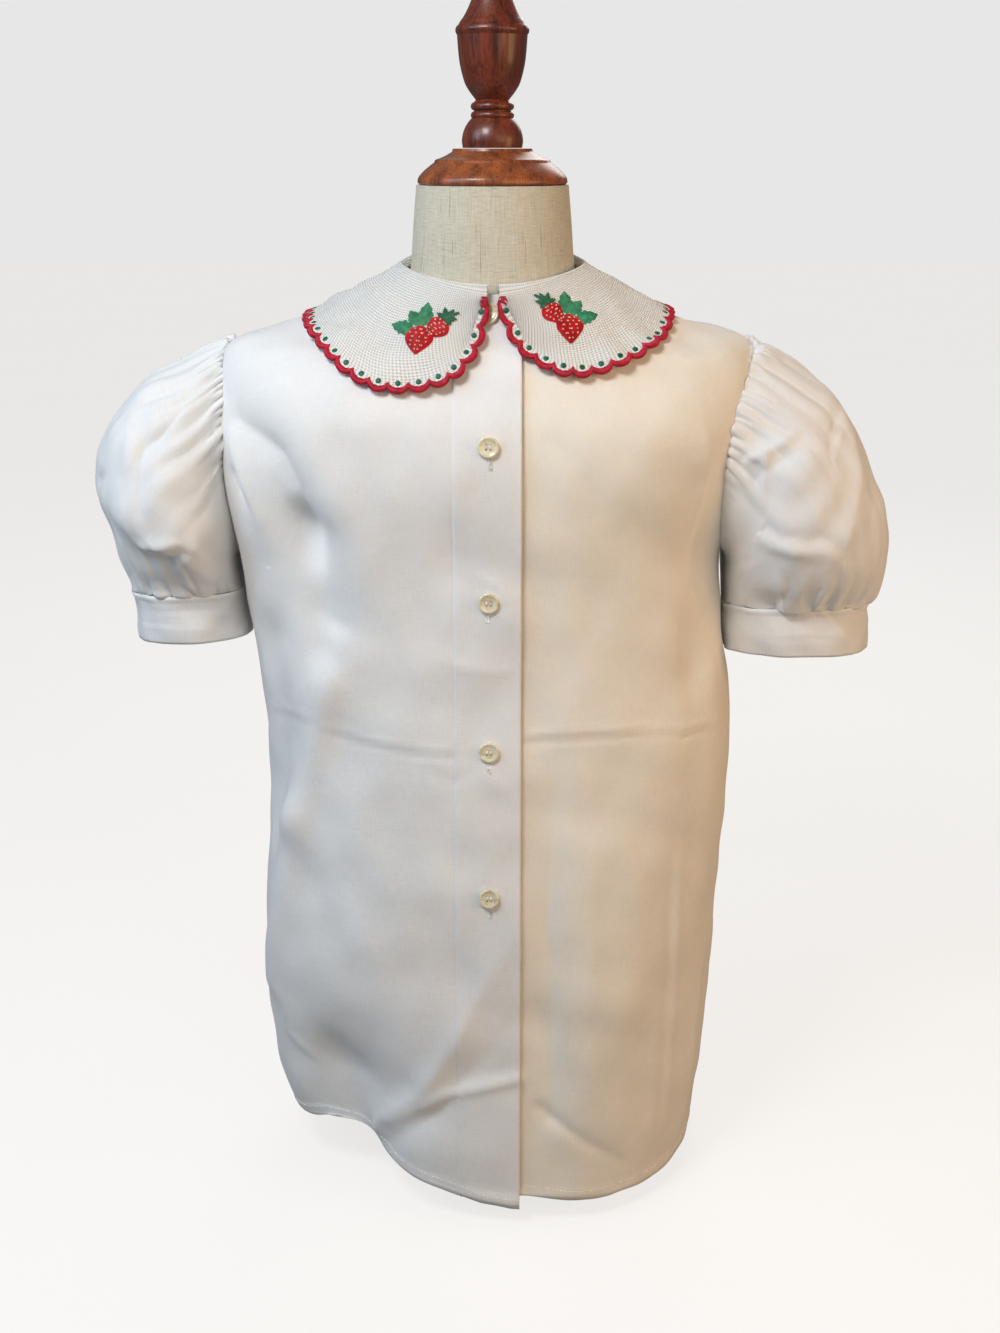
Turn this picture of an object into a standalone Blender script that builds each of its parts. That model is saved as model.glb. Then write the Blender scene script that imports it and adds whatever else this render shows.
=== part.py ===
"""Child's blouse with puff sleeves and a scalloped flat collar, on a tabletop dress form.

Units are metres and +Z is up. The front faces -Y and the origin is on the surface that
the form stands on, under the form's axis. Left and right are the wearer's, so the
wearer's left is +X. Round the body an angle of -90 degrees is the centre front, 0 is the
wearer's left side, 90 the centre back and 180 the wearer's right side.
"""

import math

import bpy
import numpy as np

# Cloth and seams
CLOTH = 0.0012  # thickness of a body panel or sleeve wall
CUFF_CLOTH = 0.0016  # two layers of cloth
COLLAR_CLOTH = 0.0014
SEAM_GAP = 0.0003
SEAM_STEP = CLOTH / 2 + SEAM_GAP  # from a panel's edge to the middle of a wall beside it
LAYER_STEP = CLOTH + 0.0012  # between two layers that lie on each other

# Front closing
CLOSING_EDGE_X = 0.0152  # free edge of the wearer's right front, which lies on top
UNDERLAP_EDGE_X = -0.0190  # hidden edge of the wearer's left front
UNDERLAP_BLEND = 0.030  # the left front comes up to the body surface over this width
BUTTON_X = -0.0020
BUTTON_HEIGHTS = (0.5190, 0.4550, 0.3730, 0.2910, 0.2090)
BUTTON_RADIUS = 0.0056
BUTTON_THICKNESS = 0.0022

# Body surface, one row for each level from the hem to the neckline
BODY_COLUMNS = (
    "side_z", "front_z", "back_z", "left_half", "right_half", "front_depth", "back_depth", "fullness",
)
BODY_ROWS = (
    (0.0160, 0.0160, 0.0160, 0.1235, 0.1250, 0.1040, 0.0980, 2.30),  # hem
    (0.0700, 0.0700, 0.0700, 0.1292, 0.1350, 0.1030, 0.0975, 2.30),  # low hip
    (0.1300, 0.1300, 0.1300, 0.1336, 0.1396, 0.1015, 0.0965, 2.30),  # hip
    (0.2000, 0.2000, 0.2000, 0.1362, 0.1352, 0.0985, 0.0950, 2.30),  # waist
    (0.2700, 0.2700, 0.2700, 0.1395, 0.1310, 0.0910, 0.0925, 2.30),  # midriff
    (0.3300, 0.3300, 0.3300, 0.1335, 0.1370, 0.0845, 0.0900, 2.35),  # ribs
    (0.3850, 0.3850, 0.3850, 0.1285, 0.1440, 0.0825, 0.0880, 2.45),  # underarm
    (0.4320, 0.4280, 0.4320, 0.1370, 0.1520, 0.0845, 0.0850, 2.70),  # chest
    (0.4700, 0.4600, 0.4700, 0.1420, 0.1512, 0.0815, 0.0790, 2.70),  # upper chest
    (0.4985, 0.4870, 0.4995, 0.1420, 0.1440, 0.0690, 0.0700, 2.40),  # shoulder tip
    (0.5085, 0.5015, 0.5150, 0.1120, 0.1120, 0.0600, 0.0630, 2.20),  # shoulder slope
    (0.5215, 0.5165, 0.5310, 0.0790, 0.0790, 0.0540, 0.0550, 2.10),  # under the collar
    (0.5365, 0.5285, 0.5470, 0.0478, 0.0478, 0.0495, 0.0470, 2.00),  # neckline
)
UNDERARM_LEVEL, TIP_LEVEL, NECK_LEVEL = 6, 9, 12
HEM_BANDS, ARMHOLE_BANDS, SHOULDER_BANDS = 12, 8, 5  # mesh bands of the body panels
FRONT_COLUMNS, BACK_COLUMNS = 13, 16

# Height of the hem round the body, one row for each place
HEM_COLUMNS = ("angle", "height")
HEM_ROWS = (
    (-270.0, 0.0170), (-235.0, 0.0165), (-205.0, 0.0210), (-180.0, 0.0270),
    (-164.0, 0.0345), (-148.0, 0.0375), (-126.0, 0.0315), (-112.0, 0.0278), (-101.0, 0.0235),
    (-92.0, 0.0185), (-84.0, 0.0190), (-75.0, 0.0170), (-60.0, 0.0130),
    (-40.0, 0.0120), (0.0, 0.0125), (45.0, 0.0155), (90.0, 0.0170),
)
CORNER_DROOP = 0.0055  # the corner of the front that lies on top hangs lower
CORNER_DROOP_SPAN = 0.050

# Half the armhole's opening in degrees of the body's angle, front and back
ARMHOLE_SPREAD = {"left": (30.0, 33.0), "right": (20.0, 32.0)}

# Large soft folds: from one place to another, as a ridge (+) or a trough (-)
FOLD_COLUMNS = ("start_angle", "start_z", "end_angle", "end_z", "width", "height")
FOLDS = (
    (-134.0, 0.000, -129.0, 0.075, 0.036, -0.0240),  # hem sinks in beside the front
    (-137.0, 0.448, -128.0, 0.405, 0.017, -0.0085),  # drape below the armhole
    (-128.0, 0.405, -126.0, 0.345, 0.015, -0.0070),
    (-123.0, 0.340, -145.0, 0.240, 0.015, 0.0060),  # long ridge down to the side
    (-145.0, 0.240, -159.0, 0.130, 0.014, 0.0045),
    (-150.0, 0.340, -160.0, 0.230, 0.018, -0.0045),
    (-62.0, 0.030, -60.0, 0.180, 0.030, 0.0035),  # soft pleat on the left front
    (-38.0, 0.430, -34.0, 0.330, 0.016, -0.0045),  # dent under the left armhole
    (52.0, 0.020, 50.0, 0.260, 0.024, -0.0050),  # similar hangs on the back
    (78.0, 0.020, 80.0, 0.220, 0.024, 0.0045),
    (118.0, 0.020, 122.0, 0.280, 0.024, -0.0055),
    (142.0, 0.420, 130.0, 0.330, 0.018, -0.0060),
)
MEAN_RADIUS = 0.115  # turns a fold's angle into a distance

# Puff sleeves, one row for each section from the armhole to the cuff
SLEEVE_COLUMNS = ("inner_x", "inner_z", "outer_x", "outer_z", "half_depth", "gather")
SLEEVE_ROWS = {
    "left": (
        (0.1290, 0.3860, 0.1425, 0.4975, 0.0480, 0.0003),
        (0.1308, 0.3835, 0.1520, 0.4960, 0.0525, 0.0017),
        (0.1315, 0.3812, 0.1660, 0.4886, 0.0575, 0.0015),
        (0.1320, 0.3785, 0.1830, 0.4762, 0.0615, 0.0010),
        (0.1325, 0.3755, 0.2000, 0.4543, 0.0640, 0.0005),
        (0.1330, 0.3722, 0.2133, 0.4283, 0.0645, 0.0003),
        (0.1335, 0.3685, 0.2218, 0.4048, 0.0630, 0.0005),
        (0.1340, 0.3640, 0.2234, 0.3762, 0.0575, 0.0012),
        (0.1345, 0.3585, 0.2195, 0.3588, 0.0490, 0.0018),
        (0.1350, 0.3515, 0.2146, 0.3515, 0.0405, 0.0005),
    ),
    "right": (
        (0.1462, 0.3860, 0.1452, 0.4975, 0.0480, 0.0003),
        (0.1464, 0.3835, 0.1515, 0.4966, 0.0525, 0.0017),
        (0.1463, 0.3812, 0.1680, 0.4903, 0.0575, 0.0015),
        (0.1461, 0.3785, 0.1868, 0.4812, 0.0615, 0.0010),
        (0.1459, 0.3755, 0.2032, 0.4688, 0.0640, 0.0005),
        (0.1456, 0.3724, 0.2146, 0.4488, 0.0640, 0.0003),
        (0.1453, 0.3692, 0.2216, 0.4235, 0.0620, 0.0005),
        (0.1450, 0.3660, 0.2148, 0.3990, 0.0560, 0.0012),
        (0.1447, 0.3630, 0.2092, 0.3760, 0.0480, 0.0018),
        (0.1443, 0.3598, 0.2052, 0.3588, 0.0405, 0.0005),
    ),
}
SLEEVE_BLEND = 2.6  # rows over which the sleeve leaves the armhole's own curve
INNER_FULLNESS = 0.72  # below 1, a sleeve's side next to the body is squarer than an ellipse
BACK_DROP = 0.13  # slope by which a cuff hangs lower at the back
GATHERS = 16
GATHER_STRENGTHS = (0.7, 1.2, 0.8, 1.0, 1.3, 0.6, 1.1, 0.8, 1.2, 0.9, 0.6, 1.3, 0.8, 1.1, 0.7, 1.0)
GATHER_START, GATHER_SPAN = -25.0, 230.0  # degrees of the sleeve's round that are gathered
COLUMNS_PER_GATHER = 3
UNDER_COLUMNS = 20
CUFF_HEIGHT = 0.0275
CUFF_LEAN = {"left": 0.07, "right": -0.05}  # way out from the body over its height
CUFF_EASE = 0.0006  # a cuff stands this far outside the gathered edge
CUFF_COLUMNS = 28

# Flat collar
COLLAR_COLUMNS = ("turn", "fall")  # degrees from the centre front, distance from the neckline
COLLAR_ROWS = {
    "right": (
        (2.4, 0.0070), (2.1, 0.0115), (2.0, 0.0170), (2.5, 0.0260), (3.3, 0.0370), (5.4, 0.0495),
        (10.5, 0.0600), (18.0, 0.0690), (26.0, 0.0705), (36.0, 0.0685), (49.0, 0.0650),
        (69.0, 0.0605), (95.0, 0.0580), (135.0, 0.0575), (180.0, 0.0575),
    ),
    "left": (
        (3.6, 0.0070), (3.3, 0.0120), (3.9, 0.0190), (5.1, 0.0290), (7.4, 0.0410), (10.4, 0.0505),
        (15.5, 0.0570), (25.0, 0.0620), (36.0, 0.0635), (47.0, 0.0620), (60.0, 0.0580),
        (75.0, 0.0545), (100.0, 0.0540), (140.0, 0.0570), (180.0, 0.0575),
    ),
}
COLLAR_STAND = 0.0048  # height of the roll above the neckline
COLLAR_LIFT = 0.0050  # how far the collar stands off the body beside the roll
COLLAR_EDGE_LIFT_FRONT = 0.0042
COLLAR_EDGE_LIFT_SIDE = 0.0024
SCALLOPS = 56
SCALLOP_DEPTH = 0.0030
COLLAR_RIM = 0.0050
POINTS_PER_SCALLOP = 3

# Dress form: covered torso and neck
FORM_COLUMNS = ("side_z", "front_z", "back_z", "half", "front_depth", "back_depth")
FORM_ROWS = (
    (0.0123, 0.0123, 0.0123, 0.0780, 0.0560, 0.0640),  # foot
    (0.0240, 0.0240, 0.0240, 0.0815, 0.0600, 0.0680),
    (0.0900, 0.0900, 0.0900, 0.0975, 0.0765, 0.0795),
    (0.1450, 0.1450, 0.1450, 0.1030, 0.0810, 0.0820),  # hips
    (0.2150, 0.2150, 0.2150, 0.1005, 0.0785, 0.0765),  # waist
    (0.2800, 0.2800, 0.2800, 0.1025, 0.0770, 0.0765),
    (0.3500, 0.3500, 0.3500, 0.1095, 0.0765, 0.0795),
    (0.4150, 0.4120, 0.4150, 0.1160, 0.0765, 0.0795),  # chest
    (0.4550, 0.4450, 0.4550, 0.1205, 0.0745, 0.0745),
    (0.4780, 0.4680, 0.4780, 0.1235, 0.0690, 0.0705),
    (0.4950, 0.4840, 0.4950, 0.1215, 0.0640, 0.0655),  # shoulder edge
)
FORM_SHOULDER_LEVELS = (9.90, 10.30, 10.75, 11.20, 11.60, 12.00)
FORM_CLEARANCE = 0.0011  # under the cloth at the shoulders, which carry it
NECK_ROWS = (
    (0.5372, 0.5305, 0.5470, 0.0449, 0.0460, 0.0436),
    (0.5470, 0.5420, 0.5540, 0.0437, 0.0443, 0.0430),
    (0.5620, 0.5600, 0.5640, 0.0426, 0.0430, 0.0424),
    (0.5818, 0.5818, 0.5818, 0.0408, 0.0410, 0.0410),
)
FORM_FULLNESS = 2.2
FORM_COLUMNS_ROUND = 30
BASE_THICKNESS = 0.0120
BASE_INSET = 0.0040

# Turned wooden cap and finial
CAP_FOOT_Z = 0.5821
CAP_SEGMENTS, FINIAL_SEGMENTS = 22, 18
FINIAL_TOP_Z = 0.7110


# Tables and smooth curves

def columns_of(rows, names):
    """A table's columns by name, as arrays."""
    return dict(zip(names, np.array(rows, float).T))


def smooth_column(values, level):
    """A column's value at a fractional row number, on a smooth curve through its rows."""
    level = np.clip(np.asarray(level, float), 0, len(values) - 1)
    row = np.minimum(level.astype(int), len(values) - 2)
    part = level - row
    here, after = values[row], values[row + 1]
    before = np.where(row > 0, values[np.maximum(row - 1, 0)], 2 * here - after)
    last = len(values) - 1
    beyond = np.where(row + 2 <= last, values[np.minimum(row + 2, last)], 2 * after - here)
    slope_here, slope_after = (after - before) / 2, (beyond - here) / 2
    square, cube = part**2, part**3
    return (
        here * (2 * cube - 3 * square + 1)
        + slope_here * (cube - 2 * square + part)
        + after * (3 * square - 2 * cube)
        + slope_after * (cube - square)
    )


def ease(value):
    """A smooth step from 0 to 1."""
    value = np.clip(value, 0.0, 1.0)
    return value * value * (3 - 2 * value)


def unit(vectors):
    return vectors / np.maximum(np.linalg.norm(vectors, axis=-1, keepdims=True), 1e-12)


BODY = columns_of(BODY_ROWS, BODY_COLUMNS)
SLEEVES = {side: columns_of(rows, SLEEVE_COLUMNS) for side, rows in SLEEVE_ROWS.items()}


# Body surface

def body_hull(angle, level):
    """The body's surface before its folds."""
    at = {name: smooth_column(BODY[name], level) for name in BODY_COLUMNS}
    cosine, sine = np.cos(angle), np.sin(angle)
    power = 2 / at["fullness"]
    half = np.where(cosine >= 0, at["left_half"], at["right_half"])
    depth = np.where(sine < 0, at["front_depth"], at["back_depth"])
    end_z = np.where(sine < 0, at["front_z"], at["back_z"])
    x = half * np.sign(cosine) * np.abs(cosine) ** power
    y = depth * np.sign(sine) * np.abs(sine) ** power
    z = at["side_z"] + (end_z - at["side_z"]) * sine**2
    turn = (np.degrees(angle) + 270) % 360 - 270
    hem = np.interp(turn, *np.array(HEM_ROWS).T) - BODY["side_z"][0]
    z = z + hem * np.clip(1 - level, 0, 1) ** 2
    return np.stack([x, y, z], -1)


def hull_normal(angle, level, step=0.004):
    """Outward direction of the body's surface before its folds."""
    round_it = body_hull(angle + step, level) - body_hull(angle - step, level)
    up_it = body_hull(angle, level + step) - body_hull(angle, level - step)
    return unit(np.cross(round_it, up_it))


def fold_height(angle, height):
    """How far the folds raise the cloth at a place on the body."""
    total = np.zeros(np.broadcast(angle, height).shape)
    for fold in FOLDS:
        at = dict(zip(FOLD_COLUMNS, fold))
        turn = (np.degrees(angle) - at["start_angle"] + 180) % 360 - 180
        across = np.radians(turn) * MEAN_RADIUS
        up = height - at["start_z"]
        run_across = math.radians(at["end_angle"] - at["start_angle"]) * MEAN_RADIUS
        run_up = at["end_z"] - at["start_z"]
        length = run_across**2 + run_up**2
        along = np.clip((across * run_across + up * run_up) / length, 0, 1)
        distance = np.hypot(across - along * run_across, up - along * run_up)
        total = total + at["height"] * np.exp(-((distance / at["width"]) ** 2))
    return total


def body_cloth(angle, level):
    """The middle of the body's cloth, folds included."""
    hull = body_hull(angle, level)
    on_shoulder = ease((level - UNDERARM_LEVEL) / (TIP_LEVEL - UNDERARM_LEVEL))
    raised = fold_height(angle, hull[..., 2]) * (1 - on_shoulder)
    return hull + hull_normal(angle, level) * raised[..., None]


def cloth_normal(angle, level, step=0.004):
    """Outward direction of the body's cloth."""
    round_it = body_cloth(angle + step, level) - body_cloth(angle - step, level)
    up_it = body_cloth(angle, level + step) - body_cloth(angle, level - step)
    return unit(np.cross(round_it, up_it))


def angle_at_x(x, level):
    """The angle on the front at which the body's surface has this x."""
    half = smooth_column(BODY["left_half" if x >= 0 else "right_half"], level)
    fullness = smooth_column(BODY["fullness"], level)
    cosine = math.copysign(1, x) * (abs(x) / half) ** (fullness / 2)
    return -np.arccos(cosine)


def angle_from_side(distance, level, depth_name):
    """The angle from a side at which the body's surface is this far in front or behind it."""
    depth = smooth_column(BODY[depth_name], level)
    fullness = smooth_column(BODY["fullness"], level)
    return np.arcsin((distance / depth) ** (fullness / 2))


# Armholes

def armhole_turn(side, level, front):
    """How far, in radians, the armhole's edge lies from the side at a level."""
    share = np.clip((level - UNDERARM_LEVEL) / (TIP_LEVEL - UNDERARM_LEVEL), 0, 1)
    spread = ARMHOLE_SPREAD[side][0 if front else 1]
    return math.radians(spread) * 2 * np.sqrt(share * (1 - share))


def body_levels():
    """Levels of the body panels' mesh rows, closer together round the armholes' ends."""
    low = np.linspace(0, UNDERARM_LEVEL, HEM_BANDS + 1)
    turn = np.linspace(0, math.pi, ARMHOLE_BANDS + 1)
    middle = UNDERARM_LEVEL + (TIP_LEVEL - UNDERARM_LEVEL) * (1 - np.cos(turn)) / 2
    high = np.linspace(TIP_LEVEL, NECK_LEVEL, SHOULDER_BANDS + 1)
    return np.concatenate([low, middle[1:], high[1:]])


def side_edge(side, level, front):
    """Angle of a panel's outer edge: side seam, armhole, then shoulder seam."""
    depth_name = "front_depth" if front else "back_depth"
    seam = angle_from_side(SEAM_GAP / 2, level, depth_name)
    turn = np.maximum(armhole_turn(side, level, front), seam)
    away = -turn if front else turn
    return away if side == "left" else np.where(away < 0, -math.pi - away, math.pi - away)


def armhole_points(side, round_angle):
    """Places on the armhole's edge, and there the cloth's normal and the way into the hole."""
    turn = np.linspace(-math.pi / 2, math.pi / 2, ARMHOLE_BANDS + 1)
    levels = UNDERARM_LEVEL + (TIP_LEVEL - UNDERARM_LEVEL) * (1 + np.sin(turn)) / 2
    place = (round_angle + math.pi / 2) % (2 * math.pi) - math.pi / 2
    is_front = place > math.pi / 2
    found = np.zeros(np.shape(round_angle) + (3,))
    normal = np.zeros_like(found)
    for front in (True, False):
        edge = side_edge(side, levels, front)
        points = body_cloth(edge, levels)
        normals = cloth_normal(edge, levels)
        where = math.pi - place if front else place
        use = is_front if front else ~is_front
        for axis in range(3):
            found[..., axis] = np.where(use, np.interp(where, turn, points[:, axis]), found[..., axis])
            normal[..., axis] = np.where(use, np.interp(where, turn, normals[:, axis]), normal[..., axis])
    centre = found.mean(axis=0)
    inward = centre - found
    inward -= normal * (inward * normal).sum(-1, keepdims=True)
    return found, unit(normal), unit(inward)


# Puff sleeves

def outwardness(round_angle):
    """From -1 at a sleeve's side next to the body to 1 at its outer side."""
    sine = np.sin(round_angle)
    return np.where(sine < 0, -(np.abs(sine) ** INNER_FULLNESS), sine)


def sleeve_section(side, round_angle, level):
    """A sleeve's surface as its sections give it, before it meets the armhole."""
    at = {name: smooth_column(SLEEVES[side][name], level) for name in SLEEVE_COLUMNS}
    mirror = 1 if side == "left" else -1
    inner = np.stack([mirror * at["inner_x"], 0 * level, at["inner_z"]], -1)
    outer = np.stack([mirror * at["outer_x"], 0 * level, at["outer_z"]], -1)
    centre, half = (inner + outer) / 2, (outer - inner) / 2
    offset = half * outwardness(round_angle)[..., None]
    offset[..., 1] += at["half_depth"] * np.cos(round_angle)
    start, span = math.radians(GATHER_START), math.radians(GATHER_SPAN)
    place = ((round_angle - start) % (2 * math.pi)) / span
    inside = ease(place / 0.06) * ease((1 - place) / 0.06) * (place < 1)
    strength = np.array(GATHER_STRENGTHS)[np.round(GATHERS * place).astype(int) % GATHERS]
    wave = np.cos(2 * math.pi * GATHERS * place) * inside * strength
    offset += unit(offset) * (at["gather"] * wave)[..., None]
    point = centre + offset
    share = ease(level / (len(SLEEVE_ROWS[side]) - 1))
    point[..., 2] -= BACK_DROP * point[..., 1] * share
    return point


def sleeve_surface(side, round_angle, level):
    """The middle of a sleeve's cloth. Round angle 90 degrees is its top, 180 its front."""
    point = sleeve_section(side, round_angle, level)
    edge, normal, inward = armhole_points(side, round_angle)
    under = np.maximum(ease(0.35 - np.sin(round_angle)), 0.6)
    start = edge + inward * (SEAM_STEP + 0.0003) + normal * (SEAM_STEP * under)[..., None]
    gap = start - sleeve_section(side, round_angle, np.zeros_like(level))
    return point + gap * (1 - ease(level / SLEEVE_BLEND))[..., None]


def sleeve_round():
    """Angles of a sleeve's mesh columns, closer together where it is gathered."""
    gathered = GATHER_SPAN * np.arange(GATHERS * COLUMNS_PER_GATHER) / (GATHERS * COLUMNS_PER_GATHER)
    plain = GATHER_SPAN + (360 - GATHER_SPAN) * np.arange(UNDER_COLUMNS) / UNDER_COLUMNS
    return np.radians(GATHER_START + np.concatenate([gathered, plain]))


# Collar

def hull_walk(angle, distance):
    """The body's surface at a distance down from the neckline, and its normal there."""
    levels = np.linspace(NECK_LEVEL, 7.0, 61)
    path = body_hull(angle[..., None], np.broadcast_to(levels, angle.shape + levels.shape))
    steps = np.linalg.norm(np.diff(path, axis=-2), axis=-1)
    run = np.concatenate([np.zeros(angle.shape + (1,)), np.cumsum(steps, -1)], -1)
    found = np.array([
        np.interp(d, r, levels) for d, r in zip(distance.ravel(), run.reshape(-1, len(levels)))
    ]).reshape(angle.shape)
    return body_hull(angle, found), hull_normal(angle, found)


def collar_outline(count):
    """Angles and distances from the neckline of the collar's edge, evenly spaced along it."""
    turns, falls = [], []
    for side, sign in (("left", 1), ("right", -1)):
        rows = columns_of(COLLAR_ROWS[side], COLLAR_COLUMNS)
        place = np.linspace(0, len(COLLAR_ROWS[side]) - 1, 141)
        turns.append(sign * np.radians(smooth_column(rows["turn"], place)))
        falls.append(smooth_column(rows["fall"], place))
    angle = np.concatenate([turns[0], 2 * math.pi + turns[1][-2::-1]]) - math.pi / 2
    fall = np.maximum(np.concatenate([falls[0], falls[1][-2::-1]]), 0)
    points = collar_surface(angle, fall, np.ones(len(angle)))
    run = np.concatenate([[0], np.cumsum(np.linalg.norm(np.diff(points, axis=0), axis=1))])
    places = np.linspace(0, run[-1], count)
    return np.interp(places, run, angle), np.interp(places, run, fall)


def collar_surface(angle, fall, share):
    """A place on the middle of the collar. Share is 0 at the neck and 1 at the edge."""
    point, normal = hull_walk(angle, fall)
    frontness = ease(-np.sin(angle) * 1.6 - 0.5)
    edge_lift = COLLAR_EDGE_LIFT_SIDE + (COLLAR_EDGE_LIFT_FRONT - COLLAR_EDGE_LIFT_SIDE) * frontness
    lift = COLLAR_LIFT + (edge_lift - COLLAR_LIFT) * share
    return point + normal * lift[..., None]


def collar_sheet():
    """The collar's mesh: rows of points from inside the neck to the scalloped edge, and faces."""
    fine_count = SCALLOPS * POINTS_PER_SCALLOP + 1
    angle, fall = collar_outline(fine_count)
    outline = collar_surface(angle, fall, np.ones(fine_count))
    _, upward = hull_walk(angle, fall)
    out = unit(np.cross(np.gradient(outline, axis=0), upward))
    bump = np.abs(np.sin(math.pi * np.arange(fine_count) / POINTS_PER_SCALLOP)) ** 0.7
    edge = outline + out * (SCALLOP_DEPTH * (bump - 0.5))[:, None]
    rim = outline - out * COLLAR_RIM
    for end, step in ((0, 1), (fine_count - 1, -1)):
        neck_corner = collar_surface(angle[end:end + 1], np.array([0.003]), np.zeros(1))[0]
        for count in range(POINTS_PER_SCALLOP):
            place = end + step * count
            share = ease(count / POINTS_PER_SCALLOP)
            rim[place] = rim[place] * share + (outline[place] + neck_corner) / 2 * (1 - share)
    coarse_angle, coarse_fall = angle[::POINTS_PER_SCALLOP], fall[::POINTS_PER_SCALLOP]
    width = len(coarse_angle)
    even = np.linspace(coarse_angle[0], coarse_angle[-1], width)
    neck_angle = 0.25 * coarse_angle + 0.75 * even
    none = np.zeros(width)
    seam, _ = hull_walk(neck_angle, none)
    first = collar_surface(neck_angle, none + 0.003, none)
    foot = seam + [0, 0, SEAM_STEP + 0.0003] + unit(-seam * [1, 1, 0]) * 0.0002
    top = (foot + first) / 2
    top[:, 2] = seam[:, 2] + COLLAR_STAND
    rows = [foot, top, first]
    rim_angle, rim_fall = hull_place(rim[::POINTS_PER_SCALLOP], coarse_angle, coarse_fall)
    for share in (0.28, 0.56, 0.80):
        between = neck_angle + (rim_angle - neck_angle) * share
        rows.append(collar_surface(between, 0.003 + (rim_fall - 0.003) * share, none + share * 0.93))
    points = np.concatenate(rows + [rim, edge])
    faces = grid_faces(len(rows), width)
    last, fine = (len(rows) - 1) * width, len(rows) * width
    for cell in range(SCALLOPS):
        start = fine + cell * POINTS_PER_SCALLOP
        faces.append((last + cell, last + cell + 1, start + 2, start + 1))
        faces.append((last + cell, start + 1, start))
        faces.append((last + cell + 1, start + 3, start + 2))
    faces += [tuple(fine + corner for corner in face) for face in grid_faces(2, fine_count)]
    return points, faces


def hull_place(points, angle, fall):
    """Angles and distances from the neckline of places on the collar, found step by step."""
    angle, fall = angle.copy(), fall.copy()
    small = 0.002
    for _ in range(8):
        here = collar_surface(angle, fall, np.ones(len(angle)))
        aside = (collar_surface(angle + small, fall, np.ones(len(angle))) - here) / small
        down = (collar_surface(angle, fall + small, np.ones(len(angle))) - here) / small
        miss = points - here
        aa, ad, dd = (aside * aside).sum(-1), (aside * down).sum(-1), (down * down).sum(-1)
        ma, md = (miss * aside).sum(-1), (miss * down).sum(-1)
        size = aa * dd - ad * ad
        angle += (ma * dd - md * ad) / size
        fall = np.maximum(fall + (md * aa - ma * ad) / size, 0.0)
    return angle, fall


# Meshes

def grid_faces(rows, columns, closed=False):
    """Quads of a grid of points stored row after row."""
    wide = columns if closed else columns - 1
    faces = []
    for row in range(rows - 1):
        for column in range(wide):
            beside = (column + 1) % columns
            low, high = row * columns, (row + 1) * columns
            faces.append((low + column, low + beside, high + beside, high + column))
    return faces


def mean_normals(points, faces):
    """Each point's normal, from the faces round it."""
    normals = np.zeros_like(points)
    for face in faces:
        corners = points[list(face)]
        span = np.cross(corners[2] - corners[0], corners[-1] - corners[1])
        if len(face) == 3:
            span = np.cross(corners[1] - corners[0], corners[2] - corners[0])
        normals[list(face)] += span
    return unit(normals)


def add_solid(name, points, faces, material):
    """A closed mesh object, with its faces turned outwards."""
    mesh = bpy.data.meshes.new(name)
    mesh.from_pydata([tuple(point) for point in points], [], faces)
    corners = [np.asarray(points)[list(face)] for face in faces]
    volume = sum(
        np.dot(corner[0], np.cross(corner[k], corner[k + 1]))
        for corner in corners for k in range(1, len(corner) - 1)
    )
    if volume < 0:
        mesh.flip_normals()
    mesh.shade_smooth()
    mesh.set_sharp_from_angle(angle=math.radians(40))
    mesh.materials.append(material)
    thing = bpy.data.objects.new(name, mesh)
    bpy.context.scene.collection.objects.link(thing)
    return thing


def add_wall(name, middle, normals, faces, thickness, material):
    """A wall of cloth: a sheet of faces given its thickness on both sides of its points."""
    count = len(middle)
    both = np.concatenate([middle + normals * thickness / 2, middle - normals * thickness / 2])
    uses = {}
    for face in faces:
        for start, end in zip(face, face[1:] + face[:1]):
            uses[(start, end)] = uses.get((end, start)) is None
            if (end, start) in uses:
                uses[(start, end)] = uses[(end, start)] = False
    solid = list(faces)
    solid += [tuple(count + corner for corner in reversed(face)) for face in faces]
    solid += [(end, start, count + start, count + end) for (start, end), rim in uses.items() if rim]
    return add_solid(name, both, solid, material)


def turned(name, profile, segments, material):
    """A solid turned about the Z axis from (radius, height) pairs, bottom to top."""
    turn = 2 * math.pi * np.arange(segments) / segments
    rings = [
        np.stack([radius * np.cos(turn), radius * np.sin(turn), np.full(segments, height)], -1)
        for radius, height in profile
    ]
    points = np.concatenate(rings + [np.array([[0, 0, profile[0][1]], [0, 0, profile[-1][1]]])])
    faces = grid_faces(len(profile), segments, closed=True)
    foot, top = len(points) - 2, len(points) - 1
    last = (len(profile) - 1) * segments
    for column in range(segments):
        beside = (column + 1) % segments
        faces.append((foot, beside, column))
        faces.append((top, last + column, last + beside))
    return add_solid(name, points, faces, material)


def arc(centre_radius, centre_height, size, start_deg, end_deg, count):
    """(radius, height) pairs on an arc, for beads and hollows of turned wood."""
    turns = np.radians(np.linspace(start_deg, end_deg, count))
    return [(centre_radius + size * math.cos(t), centre_height + size * math.sin(t)) for t in turns]


def new_material(name, colour, roughness):
    material = bpy.data.materials.new(name)
    material.use_nodes = True
    shader = material.node_tree.nodes["Principled BSDF"]
    shader.inputs["Base Color"].default_value = (*colour, 1)
    shader.inputs["Roughness"].default_value = roughness
    shader.inputs["Metallic"].default_value = 0
    return material


# Pieces of the blouse

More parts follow.
